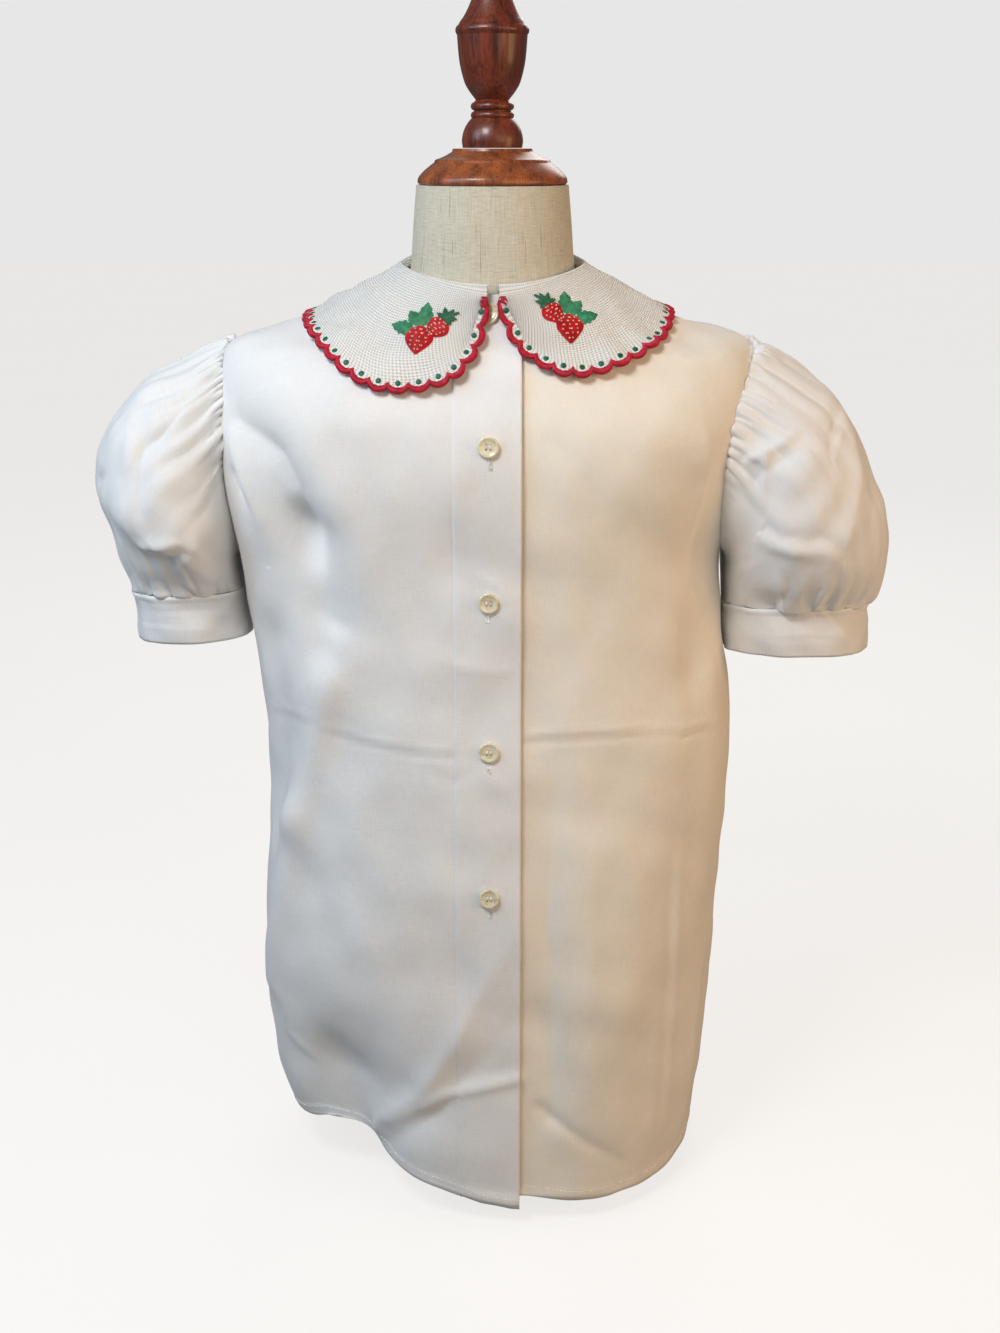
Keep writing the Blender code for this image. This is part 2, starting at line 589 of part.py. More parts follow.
def add_front(side, cotton):
    """One front, from its closing edge round to the side seam, armhole and shoulder seam."""
    levels = body_levels()
    closing_x = CLOSING_EDGE_X if side == "right" else UNDERLAP_EDGE_X
    closing = angle_at_x(closing_x, levels)
    outer = side_edge(side, levels, front=True)
    share = np.linspace(0, 1, FRONT_COLUMNS + 1)
    angle = closing[:, None] + (outer - closing)[:, None] * share
    level = np.broadcast_to(levels[:, None], angle.shape)
    middle, normals = body_cloth(angle, level), cloth_normal(angle, level)
    if side == "left":
        inset = 1 - ease((middle[..., 0] - CLOSING_EDGE_X - 0.004) / UNDERLAP_BLEND)
        middle = middle - normals * (LAYER_STEP * inset)[..., None]
    else:
        corner = ease(1 - (CLOSING_EDGE_X - middle[..., 0]) / CORNER_DROOP_SPAN)
        middle[..., 2] -= CORNER_DROOP * corner * np.clip(1 - level, 0, 1) ** 2
    faces = grid_faces(*angle.shape)
    return add_wall("front_" + side, middle.reshape(-1, 3), normals.reshape(-1, 3), faces, CLOTH, cotton)


def add_back(cotton):
    levels = body_levels()
    start = side_edge("left", levels, front=False)
    end = side_edge("right", levels, front=False)
    share = np.linspace(0, 1, BACK_COLUMNS + 1)
    angle = start[:, None] + (end - start)[:, None] * share
    level = np.broadcast_to(levels[:, None], angle.shape)
    middle, normals = body_cloth(angle, level), cloth_normal(angle, level)
    faces = grid_faces(*angle.shape)
    return add_wall("back", middle.reshape(-1, 3), normals.reshape(-1, 3), faces, CLOTH, cotton)


def add_sleeve(side, cotton):
    round_angles = sleeve_round()
    rows = np.arange(len(SLEEVE_ROWS[side]), dtype=float)
    points = np.stack([
        sleeve_surface(side, round_angles, np.full(len(round_angles), row)) for row in rows
    ])
    faces = grid_faces(*points.shape[:2], closed=True)
    flat = points.reshape(-1, 3)
    return add_wall("sleeve_" + side, flat, mean_normals(flat, faces), faces, CLOTH, cotton)


def add_cuff(side, cotton):
    turn = 2 * math.pi * np.arange(CUFF_COLUMNS) / CUFF_COLUMNS
    last = len(SLEEVE_ROWS[side]) - 1
    at = {name: column[last] for name, column in SLEEVES[side].items()}
    mirror = 1 if side == "left" else -1
    axis = np.array([mirror * (at["outer_x"] - at["inner_x"]), 0, at["outer_z"] - at["inner_z"]])
    half = np.linalg.norm(axis) / 2 + CUFF_EASE
    across = unit(axis)
    centre = np.array([mirror * (at["outer_x"] + at["inner_x"]) / 2, 0, (at["outer_z"] + at["inner_z"]) / 2])
    down = np.array([mirror * CUFF_LEAN[side], 0, -1])
    rows = []
    for drop in (CLOTH / 2 + SEAM_GAP, CUFF_HEIGHT / 2, CUFF_HEIGHT):
        ring = centre + down * drop + np.outer(half * outwardness(turn), across)
        ring[:, 1] += (at["half_depth"] + CUFF_EASE) * np.cos(turn)
        ring[:, 2] -= BACK_DROP * ring[:, 1]
        rows.append(ring)
    points = np.stack(rows)
    faces = grid_faces(*points.shape[:2], closed=True)
    flat = points.reshape(-1, 3)
    return add_wall("cuff_" + side, flat, mean_normals(flat, faces), faces, CUFF_CLOTH, cotton)


def add_collar(pique):
    points, faces = collar_sheet()
    return add_wall("collar", points, mean_normals(points, faces), faces, COLLAR_CLOTH, pique)


def add_buttons(pearl):
    rim, dish = BUTTON_RADIUS, BUTTON_RADIUS * 0.62
    thick = BUTTON_THICKNESS
    profile = [
        (rim * 0.80, 0.0), (rim * 0.97, thick * 0.30), (rim, thick * 0.62),
        (rim * 0.88, thick), (dish, thick * 0.72), (dish * 0.3, thick * 0.66),
    ]
    for number, height in enumerate(BUTTON_HEIGHTS, 1):
        button = turned(f"button_{number}", profile, 12, pearl)
        levels = np.linspace(1, NECK_LEVEL, 400)
        angles = angle_at_x(BUTTON_X, levels)
        level = np.interp(height, body_cloth(angles, levels)[:, 2], levels)
        angle = angle_at_x(BUTTON_X, np.array([level]))
        normal = cloth_normal(angle, np.array([level]))[0]
        place = body_cloth(angle, np.array([level]))[0] + normal * (CLOTH / 2 + SEAM_GAP + 0.0001)
        pitch = math.acos(normal[2])
        turn = math.atan2(normal[1], normal[0])
        button.rotation_euler = (0, pitch, turn)
        button.location = place


# Dress form

def form_ring(row):
    at = dict(zip(FORM_COLUMNS, row))
    turn = 2 * math.pi * np.arange(FORM_COLUMNS_ROUND) / FORM_COLUMNS_ROUND
    cosine, sine = np.cos(turn), np.sin(turn)
    power = 2 / FORM_FULLNESS
    depth = np.where(sine < 0, at["front_depth"], at["back_depth"])
    end_z = np.where(sine < 0, at["front_z"], at["back_z"])
    x = at["half"] * np.sign(cosine) * np.abs(cosine) ** power
    y = depth * np.sign(sine) * np.abs(sine) ** power
    z = at["side_z"] + (end_z - at["side_z"]) * sine**2
    return np.stack([x, y, z], -1)


def add_form(linen):
    """The covered torso and neck. Its shoulders follow the blouse, which rests on them."""
    turn = 2 * math.pi * np.arange(FORM_COLUMNS_ROUND) / FORM_COLUMNS_ROUND
    rings = [form_ring(row) for row in FORM_ROWS]
    for level in FORM_SHOULDER_LEVELS:
        levels = np.full(len(turn), level)
        inset = LAYER_STEP * np.exp(-((np.degrees(turn) - 278) / 48) ** 2) + CLOTH / 2 + FORM_CLEARANCE
        rings.append(body_hull(turn, levels) - hull_normal(turn, levels) * inset[:, None])
    rings += [form_ring(row) for row in NECK_ROWS]
    points = np.concatenate(rings + [np.array([[0, 0, FORM_ROWS[0][0]], [0, 0, NECK_ROWS[-1][0]]])])
    faces = grid_faces(len(rings), FORM_COLUMNS_ROUND, closed=True)
    foot, top = len(points) - 2, len(points) - 1
    last = (len(rings) - 1) * FORM_COLUMNS_ROUND
    for column in range(FORM_COLUMNS_ROUND):
        beside = (column + 1) % FORM_COLUMNS_ROUND
        faces.append((foot, beside, column))
        faces.append((top, last + column, last + beside))
    return add_solid("form_torso", points, faces, linen)


def add_base(wood):
    """The board that the form stands on, hidden inside the hem."""
    ring = form_ring(FORM_ROWS[0])
    inset = ring * (1 - BASE_INSET / FORM_ROWS[0][3])
    low, high = inset.copy(), inset.copy()
    low[:, 2], high[:, 2] = 0, BASE_THICKNESS
    points = np.concatenate([low, high])
    count = len(ring)
    faces = [tuple(range(count - 1, -1, -1)), tuple(range(count, 2 * count))]
    faces += [(k, (k + 1) % count, count + (k + 1) % count, count + k) for k in range(count)]
    return add_solid("base_board", points, faces, wood)


def add_cap(wood):
    """The low turned disc on the neck: round shoulder, ledge and hollow."""
    foot = CAP_FOOT_Z
    profile = [(0.0390, foot), (0.0401, foot + 0.0014)]
    profile += [(0.0396, foot + 0.0035), (0.0366, foot + 0.0070), (0.0311, foot + 0.0112)]
    profile += [(0.0301, foot + 0.0124), (0.0258, foot + 0.0142), (0.0216, foot + 0.0166)]
    profile += [(0.0211, foot + 0.0182)]
    return turned("neck_cap", profile, CAP_SEGMENTS, wood)


def add_finial(wood):
    """The turned finial: ball, two beads, urn with a broad bead, flare and a plain knob."""
    foot = CAP_FOOT_Z + 0.0182 + SEAM_GAP
    profile = [(0.0158, foot)]
    profile += arc(0, foot + 0.0030, 0.0163, 0, 52, 4)
    profile += arc(0.0094, 0.6170, 0.0021, -70, 70, 4)
    profile += arc(0.0094, 0.6215, 0.0021, -70, 70, 4)
    profile += [(0.0088, 0.6250), (0.0117, 0.6283), (0.0157, 0.6366), (0.0178, 0.6480), (0.0184, 0.6560)]
    profile += [(0.0192, 0.6590), (0.0180, 0.6612), (0.0150, 0.6655), (0.0113, 0.6726), (0.0082, 0.6810)]
    knob = 0.0120
    profile += arc(0, FINIAL_TOP_Z - knob, knob, -50, 82, 6)
    return turned("finial", profile, FINIAL_SEGMENTS, wood)


def main():
    for thing in list(bpy.data.objects):
        bpy.data.objects.remove(thing)
    cotton = new_material("white_cotton", (0.86, 0.85, 0.83), 0.75)
    pique = new_material("white_pique", (0.88, 0.87, 0.85), 0.80)
    pearl = new_material("pearl_button", (0.86, 0.82, 0.66), 0.25)
    linen = new_material("natural_linen", (0.62, 0.58, 0.48), 0.85)
    wood = new_material("red_brown_wood", (0.21, 0.05, 0.02), 0.30)
    for side in ("right", "left"):
        add_front(side, cotton)
        add_sleeve(side, cotton)
        add_cuff(side, cotton)
    add_back(cotton)
    add_collar(pique)
    add_buttons(pearl)
    add_form(linen)
    add_base(wood)
    add_cap(wood)
    add_finial(wood)


main()
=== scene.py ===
"""Looks of a child's cotton blouse with puff sleeves and a scalloped collar, on a dress form.

Units are metres and +Z is up. The front faces -Y. Left and right are the wearer's, so the
wearer's left is +X. Round the body an angle of -90 degrees is the centre front, 0 is the
wearer's left side, 90 the centre back and 180 the wearer's right side. Round a sleeve 90
degrees is its top and 180 its front.
"""

import math

import bmesh
import bpy
import numpy as np
from mathutils import Matrix, Vector


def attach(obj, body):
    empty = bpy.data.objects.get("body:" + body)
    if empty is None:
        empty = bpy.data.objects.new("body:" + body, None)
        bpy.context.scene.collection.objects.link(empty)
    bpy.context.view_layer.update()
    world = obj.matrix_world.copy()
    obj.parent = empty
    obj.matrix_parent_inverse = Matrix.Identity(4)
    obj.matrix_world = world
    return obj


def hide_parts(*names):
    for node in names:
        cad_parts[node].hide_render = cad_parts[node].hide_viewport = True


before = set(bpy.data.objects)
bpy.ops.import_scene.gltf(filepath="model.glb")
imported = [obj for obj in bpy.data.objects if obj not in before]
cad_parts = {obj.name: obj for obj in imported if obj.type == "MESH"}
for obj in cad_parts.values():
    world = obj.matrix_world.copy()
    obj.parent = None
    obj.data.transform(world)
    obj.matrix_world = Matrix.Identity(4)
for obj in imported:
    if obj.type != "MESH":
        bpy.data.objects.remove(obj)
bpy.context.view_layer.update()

# Cloth and seams
CLOTH = 0.0012  # thickness of a body panel or sleeve wall
SEAM_GAP = 0.0003
SEAM_STEP = CLOTH / 2 + SEAM_GAP  # from a panel's edge to the middle of a wall beside it
LAYER_STEP = CLOTH + 0.0012  # between two layers that lie on each other

# Front closing
CLOSING_EDGE_X = 0.0152  # free edge of the wearer's right front, which lies on top
UNDERLAP_EDGE_X = -0.0190  # hidden edge of the wearer's left front
UNDERLAP_BLEND = 0.030  # the left front comes up to the body surface over this width
BUTTON_X = -0.0020
BUTTON_HEIGHTS = (0.5190, 0.4550, 0.3730, 0.2910, 0.2090)
BUTTON_RADIUS = 0.0056
BUTTON_THICKNESS = 0.0022
HOLE_REACH = 0.27  # from a button's middle to its holes, as a share of its radius
BUTTONHOLE_LENGTH, BUTTONHOLE_DROP = 0.0105, 0.0050  # its middle lies this far below the button's

# Body surface, one row for each level from the hem to the neckline
BODY_COLUMNS = (
    "side_z", "front_z", "back_z", "left_half", "right_half", "front_depth", "back_depth", "fullness",
)
BODY_ROWS = (
    (0.0160, 0.0160, 0.0160, 0.1235, 0.1250, 0.1040, 0.0980, 2.30),  # hem
    (0.0700, 0.0700, 0.0700, 0.1292, 0.1350, 0.1030, 0.0975, 2.30),  # low hip
    (0.1300, 0.1300, 0.1300, 0.1336, 0.1396, 0.1015, 0.0965, 2.30),  # hip
    (0.2000, 0.2000, 0.2000, 0.1362, 0.1352, 0.0985, 0.0950, 2.30),  # waist
    (0.2700, 0.2700, 0.2700, 0.1395, 0.1310, 0.0910, 0.0925, 2.30),  # midriff
    (0.3300, 0.3300, 0.3300, 0.1335, 0.1370, 0.0845, 0.0900, 2.35),  # ribs
    (0.3850, 0.3850, 0.3850, 0.1285, 0.1440, 0.0825, 0.0880, 2.45),  # underarm
    (0.4320, 0.4280, 0.4320, 0.1370, 0.1520, 0.0845, 0.0850, 2.70),  # chest
    (0.4700, 0.4600, 0.4700, 0.1420, 0.1512, 0.0815, 0.0790, 2.70),  # upper chest
    (0.4985, 0.4870, 0.4995, 0.1420, 0.1440, 0.0690, 0.0700, 2.40),  # shoulder tip
    (0.5085, 0.5015, 0.5150, 0.1120, 0.1120, 0.0600, 0.0630, 2.20),  # shoulder slope
    (0.5215, 0.5165, 0.5310, 0.0790, 0.0790, 0.0540, 0.0550, 2.10),  # under the collar
    (0.5365, 0.5285, 0.5470, 0.0478, 0.0478, 0.0495, 0.0470, 2.00),  # neckline
)
UNDERARM_LEVEL, TIP_LEVEL, NECK_LEVEL = 6, 9, 12
ARMHOLE_BANDS = 64  # mesh bands of the body panels beside the armholes

# Height of the hem round the body, one row for each place
HEM_ROWS = (
    (-270.0, 0.0170), (-235.0, 0.0165), (-205.0, 0.0210), (-180.0, 0.0270),
    (-164.0, 0.0345), (-148.0, 0.0375), (-126.0, 0.0315), (-112.0, 0.0278), (-101.0, 0.0235),
    (-92.0, 0.0185), (-84.0, 0.0190), (-75.0, 0.0170), (-60.0, 0.0130),
    (-40.0, 0.0120), (0.0, 0.0125), (45.0, 0.0155), (90.0, 0.0170),
)
CORNER_DROOP = 0.0055  # the corner of the front that lies on top hangs lower
CORNER_DROOP_SPAN = 0.050

# Half the armhole's opening in degrees of the body's angle, front and back
ARMHOLE_SPREAD = {"left": (30.0, 33.0), "right": (20.0, 32.0)}

# Large soft folds: from one place to another, as a ridge (+) or a trough (-)
FOLD_COLUMNS = ("start_angle", "start_z", "end_angle", "end_z", "width", "height")
FOLDS = (
    (-134.0, 0.000, -129.0, 0.075, 0.036, -0.0240),  # hem sinks in beside the front
    (-137.0, 0.448, -128.0, 0.405, 0.017, -0.0085),  # drape below the armhole
    (-128.0, 0.405, -126.0, 0.345, 0.015, -0.0070),
    (-123.0, 0.340, -145.0, 0.240, 0.015, 0.0060),  # long ridge down to the side
    (-145.0, 0.240, -159.0, 0.130, 0.014, 0.0045),
    (-150.0, 0.340, -160.0, 0.230, 0.018, -0.0045),
    (-62.0, 0.030, -60.0, 0.180, 0.030, 0.0035),  # soft pleat on the left front
    (-38.0, 0.430, -34.0, 0.330, 0.016, -0.0045),  # dent under the left armhole
    (52.0, 0.020, 50.0, 0.260, 0.024, -0.0050),  # similar hangs on the back
    (78.0, 0.020, 80.0, 0.220, 0.024, 0.0045),
    (118.0, 0.020, 122.0, 0.280, 0.024, -0.0055),
    (142.0, 0.420, 130.0, 0.330, 0.018, -0.0060),
)
MEAN_RADIUS = 0.115  # turns a fold's angle into a distance
X_AXIS = np.array([1.0, 0.0, 0.0])

# Puff sleeves, one row for each section from the armhole to the cuff
SLEEVE_COLUMNS = ("inner_x", "inner_z", "outer_x", "outer_z", "half_depth", "gather")
SLEEVE_ROWS = {
    "left": (
        (0.1290, 0.3860, 0.1425, 0.4975, 0.0480, 0.0003),
        (0.1308, 0.3835, 0.1520, 0.4960, 0.0525, 0.0017),
        (0.1315, 0.3812, 0.1660, 0.4886, 0.0575, 0.0015),
        (0.1320, 0.3785, 0.1830, 0.4762, 0.0615, 0.0010),
        (0.1325, 0.3755, 0.2000, 0.4543, 0.0640, 0.0005),
        (0.1322, 0.3722, 0.2133, 0.4283, 0.0645, 0.0003),
        (0.1323, 0.3685, 0.2218, 0.4048, 0.0630, 0.0005),
        (0.1325, 0.3640, 0.2234, 0.3762, 0.0575, 0.0012),
        (0.1327, 0.3585, 0.2195, 0.3588, 0.0490, 0.0018),
        (0.1330, 0.3515, 0.2146, 0.3515, 0.0405, 0.0005),
    ),
    "right": (
        (0.1462, 0.3860, 0.1452, 0.4975, 0.0480, 0.0003),
        (0.1464, 0.3835, 0.1515, 0.4966, 0.0525, 0.0017),
        (0.1463, 0.3812, 0.1680, 0.4903, 0.0575, 0.0015),
        (0.1461, 0.3785, 0.1868, 0.4812, 0.0615, 0.0010),
        (0.1459, 0.3755, 0.2032, 0.4688, 0.0640, 0.0005),
        (0.1456, 0.3724, 0.2146, 0.4488, 0.0640, 0.0003),
        (0.1453, 0.3692, 0.2216, 0.4235, 0.0620, 0.0005),
        (0.1450, 0.3660, 0.2148, 0.3990, 0.0560, 0.0012),
        (0.1447, 0.3630, 0.2092, 0.3760, 0.0480, 0.0018),
        (0.1443, 0.3598, 0.2052, 0.3588, 0.0405, 0.0005),
    ),
}
SLEEVE_BLEND = 2.6  # rows over which the sleeve leaves the armhole's own curve
INNER_FULLNESS = 0.72  # below 1, a sleeve's side next to the body is squarer than an ellipse
BACK_DROP = 0.13  # slope by which a cuff hangs lower at the back
GATHERS = 16
GATHER_STRENGTHS = (0.7, 1.2, 0.8, 1.0, 1.3, 0.6, 1.1, 0.8, 1.2, 0.9, 0.6, 1.3, 0.8, 1.1, 0.7, 1.0)
GATHER_START, GATHER_SPAN = -25.0, 230.0  # degrees of the sleeve's round that are gathered
CUFF_HEIGHT = 0.0275
CUFF_LEAN = {"left": 0.07, "right": -0.05}  # way out from the body over its height
CUFF_EASE = 0.0006  # a cuff stands this far outside the gathered edge

# Flat collar
COLLAR_COLUMNS = ("turn", "fall")  # degrees from the centre front, distance from the neckline
COLLAR_ROWS = {
    "right": (
        (2.4, 0.0070), (2.1, 0.0115), (2.0, 0.0170), (2.5, 0.0260), (3.3, 0.0370), (5.4, 0.0495),
        (10.5, 0.0600), (18.0, 0.0690), (26.0, 0.0705), (36.0, 0.0685), (49.0, 0.0650),
        (69.0, 0.0605), (95.0, 0.0580), (135.0, 0.0575), (180.0, 0.0575),
    ),
    "left": (
        (3.6, 0.0070), (3.3, 0.0120), (3.9, 0.0190), (5.1, 0.0290), (7.4, 0.0410), (10.4, 0.0505),
        (15.5, 0.0570), (25.0, 0.0620), (36.0, 0.0635), (47.0, 0.0620), (60.0, 0.0580),
        (75.0, 0.0545), (100.0, 0.0540), (140.0, 0.0570), (180.0, 0.0575),
    ),
}
COLLAR_STAND = 0.0048  # height of the roll above the neckline
COLLAR_LIFT = 0.0050  # how far the collar stands off the body beside the roll
COLLAR_EDGE_LIFT_FRONT = 0.0042
COLLAR_EDGE_LIFT_SIDE = 0.0024
SCALLOPS = 56
SCALLOP_DEPTH = 0.0030
COLLAR_RIM = 0.0050

# Dress form: covered torso and neck
FORM_COLUMNS = ("side_z", "front_z", "back_z", "half", "front_depth", "back_depth")
FORM_ROWS = (
    (0.0123, 0.0123, 0.0123, 0.0780, 0.0560, 0.0640),  # foot
    (0.0240, 0.0240, 0.0240, 0.0815, 0.0600, 0.0680),
    (0.0900, 0.0900, 0.0900, 0.0975, 0.0765, 0.0795),
    (0.1450, 0.1450, 0.1450, 0.1030, 0.0810, 0.0820),  # hips
    (0.2150, 0.2150, 0.2150, 0.1005, 0.0785, 0.0765),  # waist
    (0.2800, 0.2800, 0.2800, 0.1025, 0.0770, 0.0765),
    (0.3500, 0.3500, 0.3500, 0.1095, 0.0765, 0.0795),
    (0.4150, 0.4120, 0.4150, 0.1160, 0.0765, 0.0795),  # chest
    (0.4550, 0.4450, 0.4550, 0.1205, 0.0745, 0.0745),
    (0.4780, 0.4680, 0.4780, 0.1235, 0.0690, 0.0705),
    (0.4950, 0.4840, 0.4950, 0.1215, 0.0640, 0.0655),  # shoulder edge
)
FORM_SHOULDER_LEVELS = (9.90, 10.30, 10.75, 11.20, 11.60, 12.00)
FORM_CLEARANCE = 0.0011  # under the cloth at the shoulders, which carry it
NECK_ROWS = (
    (0.5372, 0.5305, 0.5470, 0.0449, 0.0460, 0.0436),
    (0.5470, 0.5420, 0.5540, 0.0437, 0.0443, 0.0430),
    (0.5620, 0.5600, 0.5640, 0.0426, 0.0430, 0.0424),
    (0.5818, 0.5818, 0.5818, 0.0408, 0.0410, 0.0410),
)
FORM_FULLNESS = 2.2
FORM_COLUMNS_ROUND = 30

# Turned wooden cap and finial
CAP_FOOT_Z = 0.5821
FINIAL_TOP_Z = 0.7110

# Shells that dress the solids
SHELL = 0.0009  # thickness of the cotton shown
CUFF_SHELL = 0.0015
COLLAR_SHELL = 0.0012
PANEL_ROWS = (130, 64, 36)  # mesh bands below, beside and above the armholes
FRONT_PANEL_COLUMNS = {"right": (22, 5, 68), "left": (14, 20, 66)}
BACK_PANEL_COLUMNS = 150
SLEEVE_PANEL_ROWS, SLEEVE_PANEL_COLUMNS = 84, 320
CUFF_PANEL_ROWS, CUFF_PANEL_COLUMNS = 18, 220
COLUMNS_PER_SCALLOP = 8
PLACKET_FOLD_X = -0.0205  # where the closing edge's facing ends
HEM_BAND = 0.0062
HEM_STEP = 0.00045
PLACKET_STEP, PLACKET_GROOVE = 0.0004, 0.0002

CREASE_SHARES = {"body": 1.25, "sleeve": 0.9}  # of the heights in the tables below

# Creases: a path of places, the width and height of the crease, its strength at both ends
CREASE_COLUMNS = ("path", "width", "height", "start", "end", "kind")
BODY_CREASES = (
    # pressed fold across the front and the back
    (((-160, .2955), (-140, .3005), (-132, .3025)), .0024, .0008, 0.5, 0.3, "step"),
    (((-129, .2976), (-121, .2940), (-112, .2919), (-104, .2905), (-98, .2901)),
     .0026, .0009, 0.4, 0.8, "step"),
    (((-84, .2974), (-77, .2992), (-68, .2990), (-57, .2974), (-43, .2938)), .0026, .0010, 1.0, 0.3, "step"),
    (((-43, .2938), (-35, .2922), (-21, .2888)), .0020, .0009, 1.0, 0.2, "step"),
    (((8, .2960), (32, .2990), (55, .2972), (80, .2985)), .0025, .0009, 0.3, 0.7, "step"),
    (((84, .2985), (112, .2962), (140, .2990), (172, .2950)), .0025, .0009, 0.9, 0.3, "step"),
    # drape from the right armhole down the side
    (((-150, .4640), (-140, .4560), (-131, .4480), (-125.5, .4302), (-127, .4075), (-128, .3922)),
     .0090, -.0036, 0.9, 0.3, "soft"),
    (((-152, .4560), (-147, .4380), (-143, .4120), (-144, .3850)), .0050, .0036, 0.5, 0.1, "soft"),
    (((-152, .4344), (-146, .4163)), .0035, -.0026, 0.8, 0.2, "soft"),
    (((-120.5, .3529), (-127.5, .3169), (-138.5, .2598), (-145, .2087), (-149, .1489), (-152.5, .1100)),
     .0110, .0012, 0.6, 0.2, "soft"),
    (((-121.0, .3560), (-124.5, .3570), (-129, .3620)), .0060, -.0016, 0.8, 0.4, "soft"),
    (((-117.5, .3500), (-123.0, .3130), (-133.0, .2600), (-139, .2080)), .0130, -.0016, 0.6, 0.2, "soft"),
    # folds near the front hem
    (((-124, .0440), (-105, .0830), (-97, .1180), (-86.5, .1860)), .0050, .0026, 0.8, 0.1, "soft"),
    (((-120, .0360), (-101, .0720), (-93, .1020), (-86.5, .1350)), .0060, -.0018, 0.6, 0.3, "soft"),
    (((-116, .0560), (-99.5, .0840), (-86.0, .0970)), .0034, .0019, 0.4, 1.0, "soft"),
    (((-94, .0236), (-86.5, .0215)), .0030, .0012, 0.6, 0.8, "soft"),
    (((-152, .0980), (-143, .0820)), .0036, .0012, 0.5, 0.3, "soft"),
    (((-80.5, .0763), (-68, .0520), (-54, .0303)), .0036, -.0016, 0.9, 0.2, "soft"),
    (((-79, .2900), (-79.5, .1900), (-78, .0700)), .0070, -.0022, 0.2, 0.9, "soft"),
    (((-71, .2850), (-70, .1800), (-69, .0600)), .0120, .0020, 0.1, 0.6, "soft"),
    (((-44, .2400), (-43, .1500), (-41, .0500)), .0050, .0012, 0.1, 0.5, "step"),
    (((-24, .1600), (-27, .0900), (-25, .0400)), .0080, .0016, 0.1, 0.7, "soft"),
    # beside the left armhole and the closing edge
    (((-48, .4800), (-41, .4400), (-38, .3900), (-33, .3500)), .0085, .0020, 0.2, 0.1, "soft"),
    (((-31, .3700), (-24, .3450), (-18, .3200)), .0060, -.0018, 0.8, 0.1, "soft"),
    (((-82, .4560), (-77, .4380), (-70, .4100)), .0080, -.0014, 0.6, 0.1, "soft"),
    (((-99, .3420), (-93, .3360), (-88, .3350)), .0030, .0007, 0.3, 0.8, "soft"),
    (((-92, .3900), (-88, .3760)), .0026, .0006, 0.2, 0.8, "soft"),
    (((-104, .2820), (-97, .2740), (-93, .2790)), .0030, -.0006, 0.2, 0.7, "soft"),
    (((-91, .2780), (-87, .2650)), .0028, .0007, 0.7, 0.3, "soft"),
    # hangs of the back
    (((34, .4300), (40, .4100), (52, .3700), (54, .3300)), .0075, -.0024, 0.9, 0.1, "soft"),
    (((146, .4400), (139, .4150), (127, .3750), (126, .3300)), .0070, -.0026, 0.9, 0.1, "soft"),
    (((60, .3600), (64, .2900), (59, .1900), (61, .0900)), .0100, .0026, 0.1, 0.6, "soft"),
    (((121, .3700), (114, .3000), (117, .1900), (112, .0900)), .0090, .0024, 0.1, 0.6, "soft"),
    (((35, .0500), (58, .0900), (80, .1500)), .0052, .0020, 0.7, 0.1, "soft"),
    (((148, .0460), (130, .0820), (114, .1500)), .0050, .0022, 0.7, 0.1, "soft"),
    (((92, .0260), (84, .0600), (88, .1100)), .0040, .0014, 0.8, 0.1, "soft"),
    (((84, .4700), (88, .4300), (86, .3700)), .0100, .0016, 0.3, 0.1, "soft"),
    (((6, .3300), (2, .2700), (5, .2000)), .0080, -.0020, 0.3, 0.2, "soft"),
    (((176, .3200), (180, .2600), (177, .1900)), .0080, .0020, 0.3, 0.2, "soft"),
)
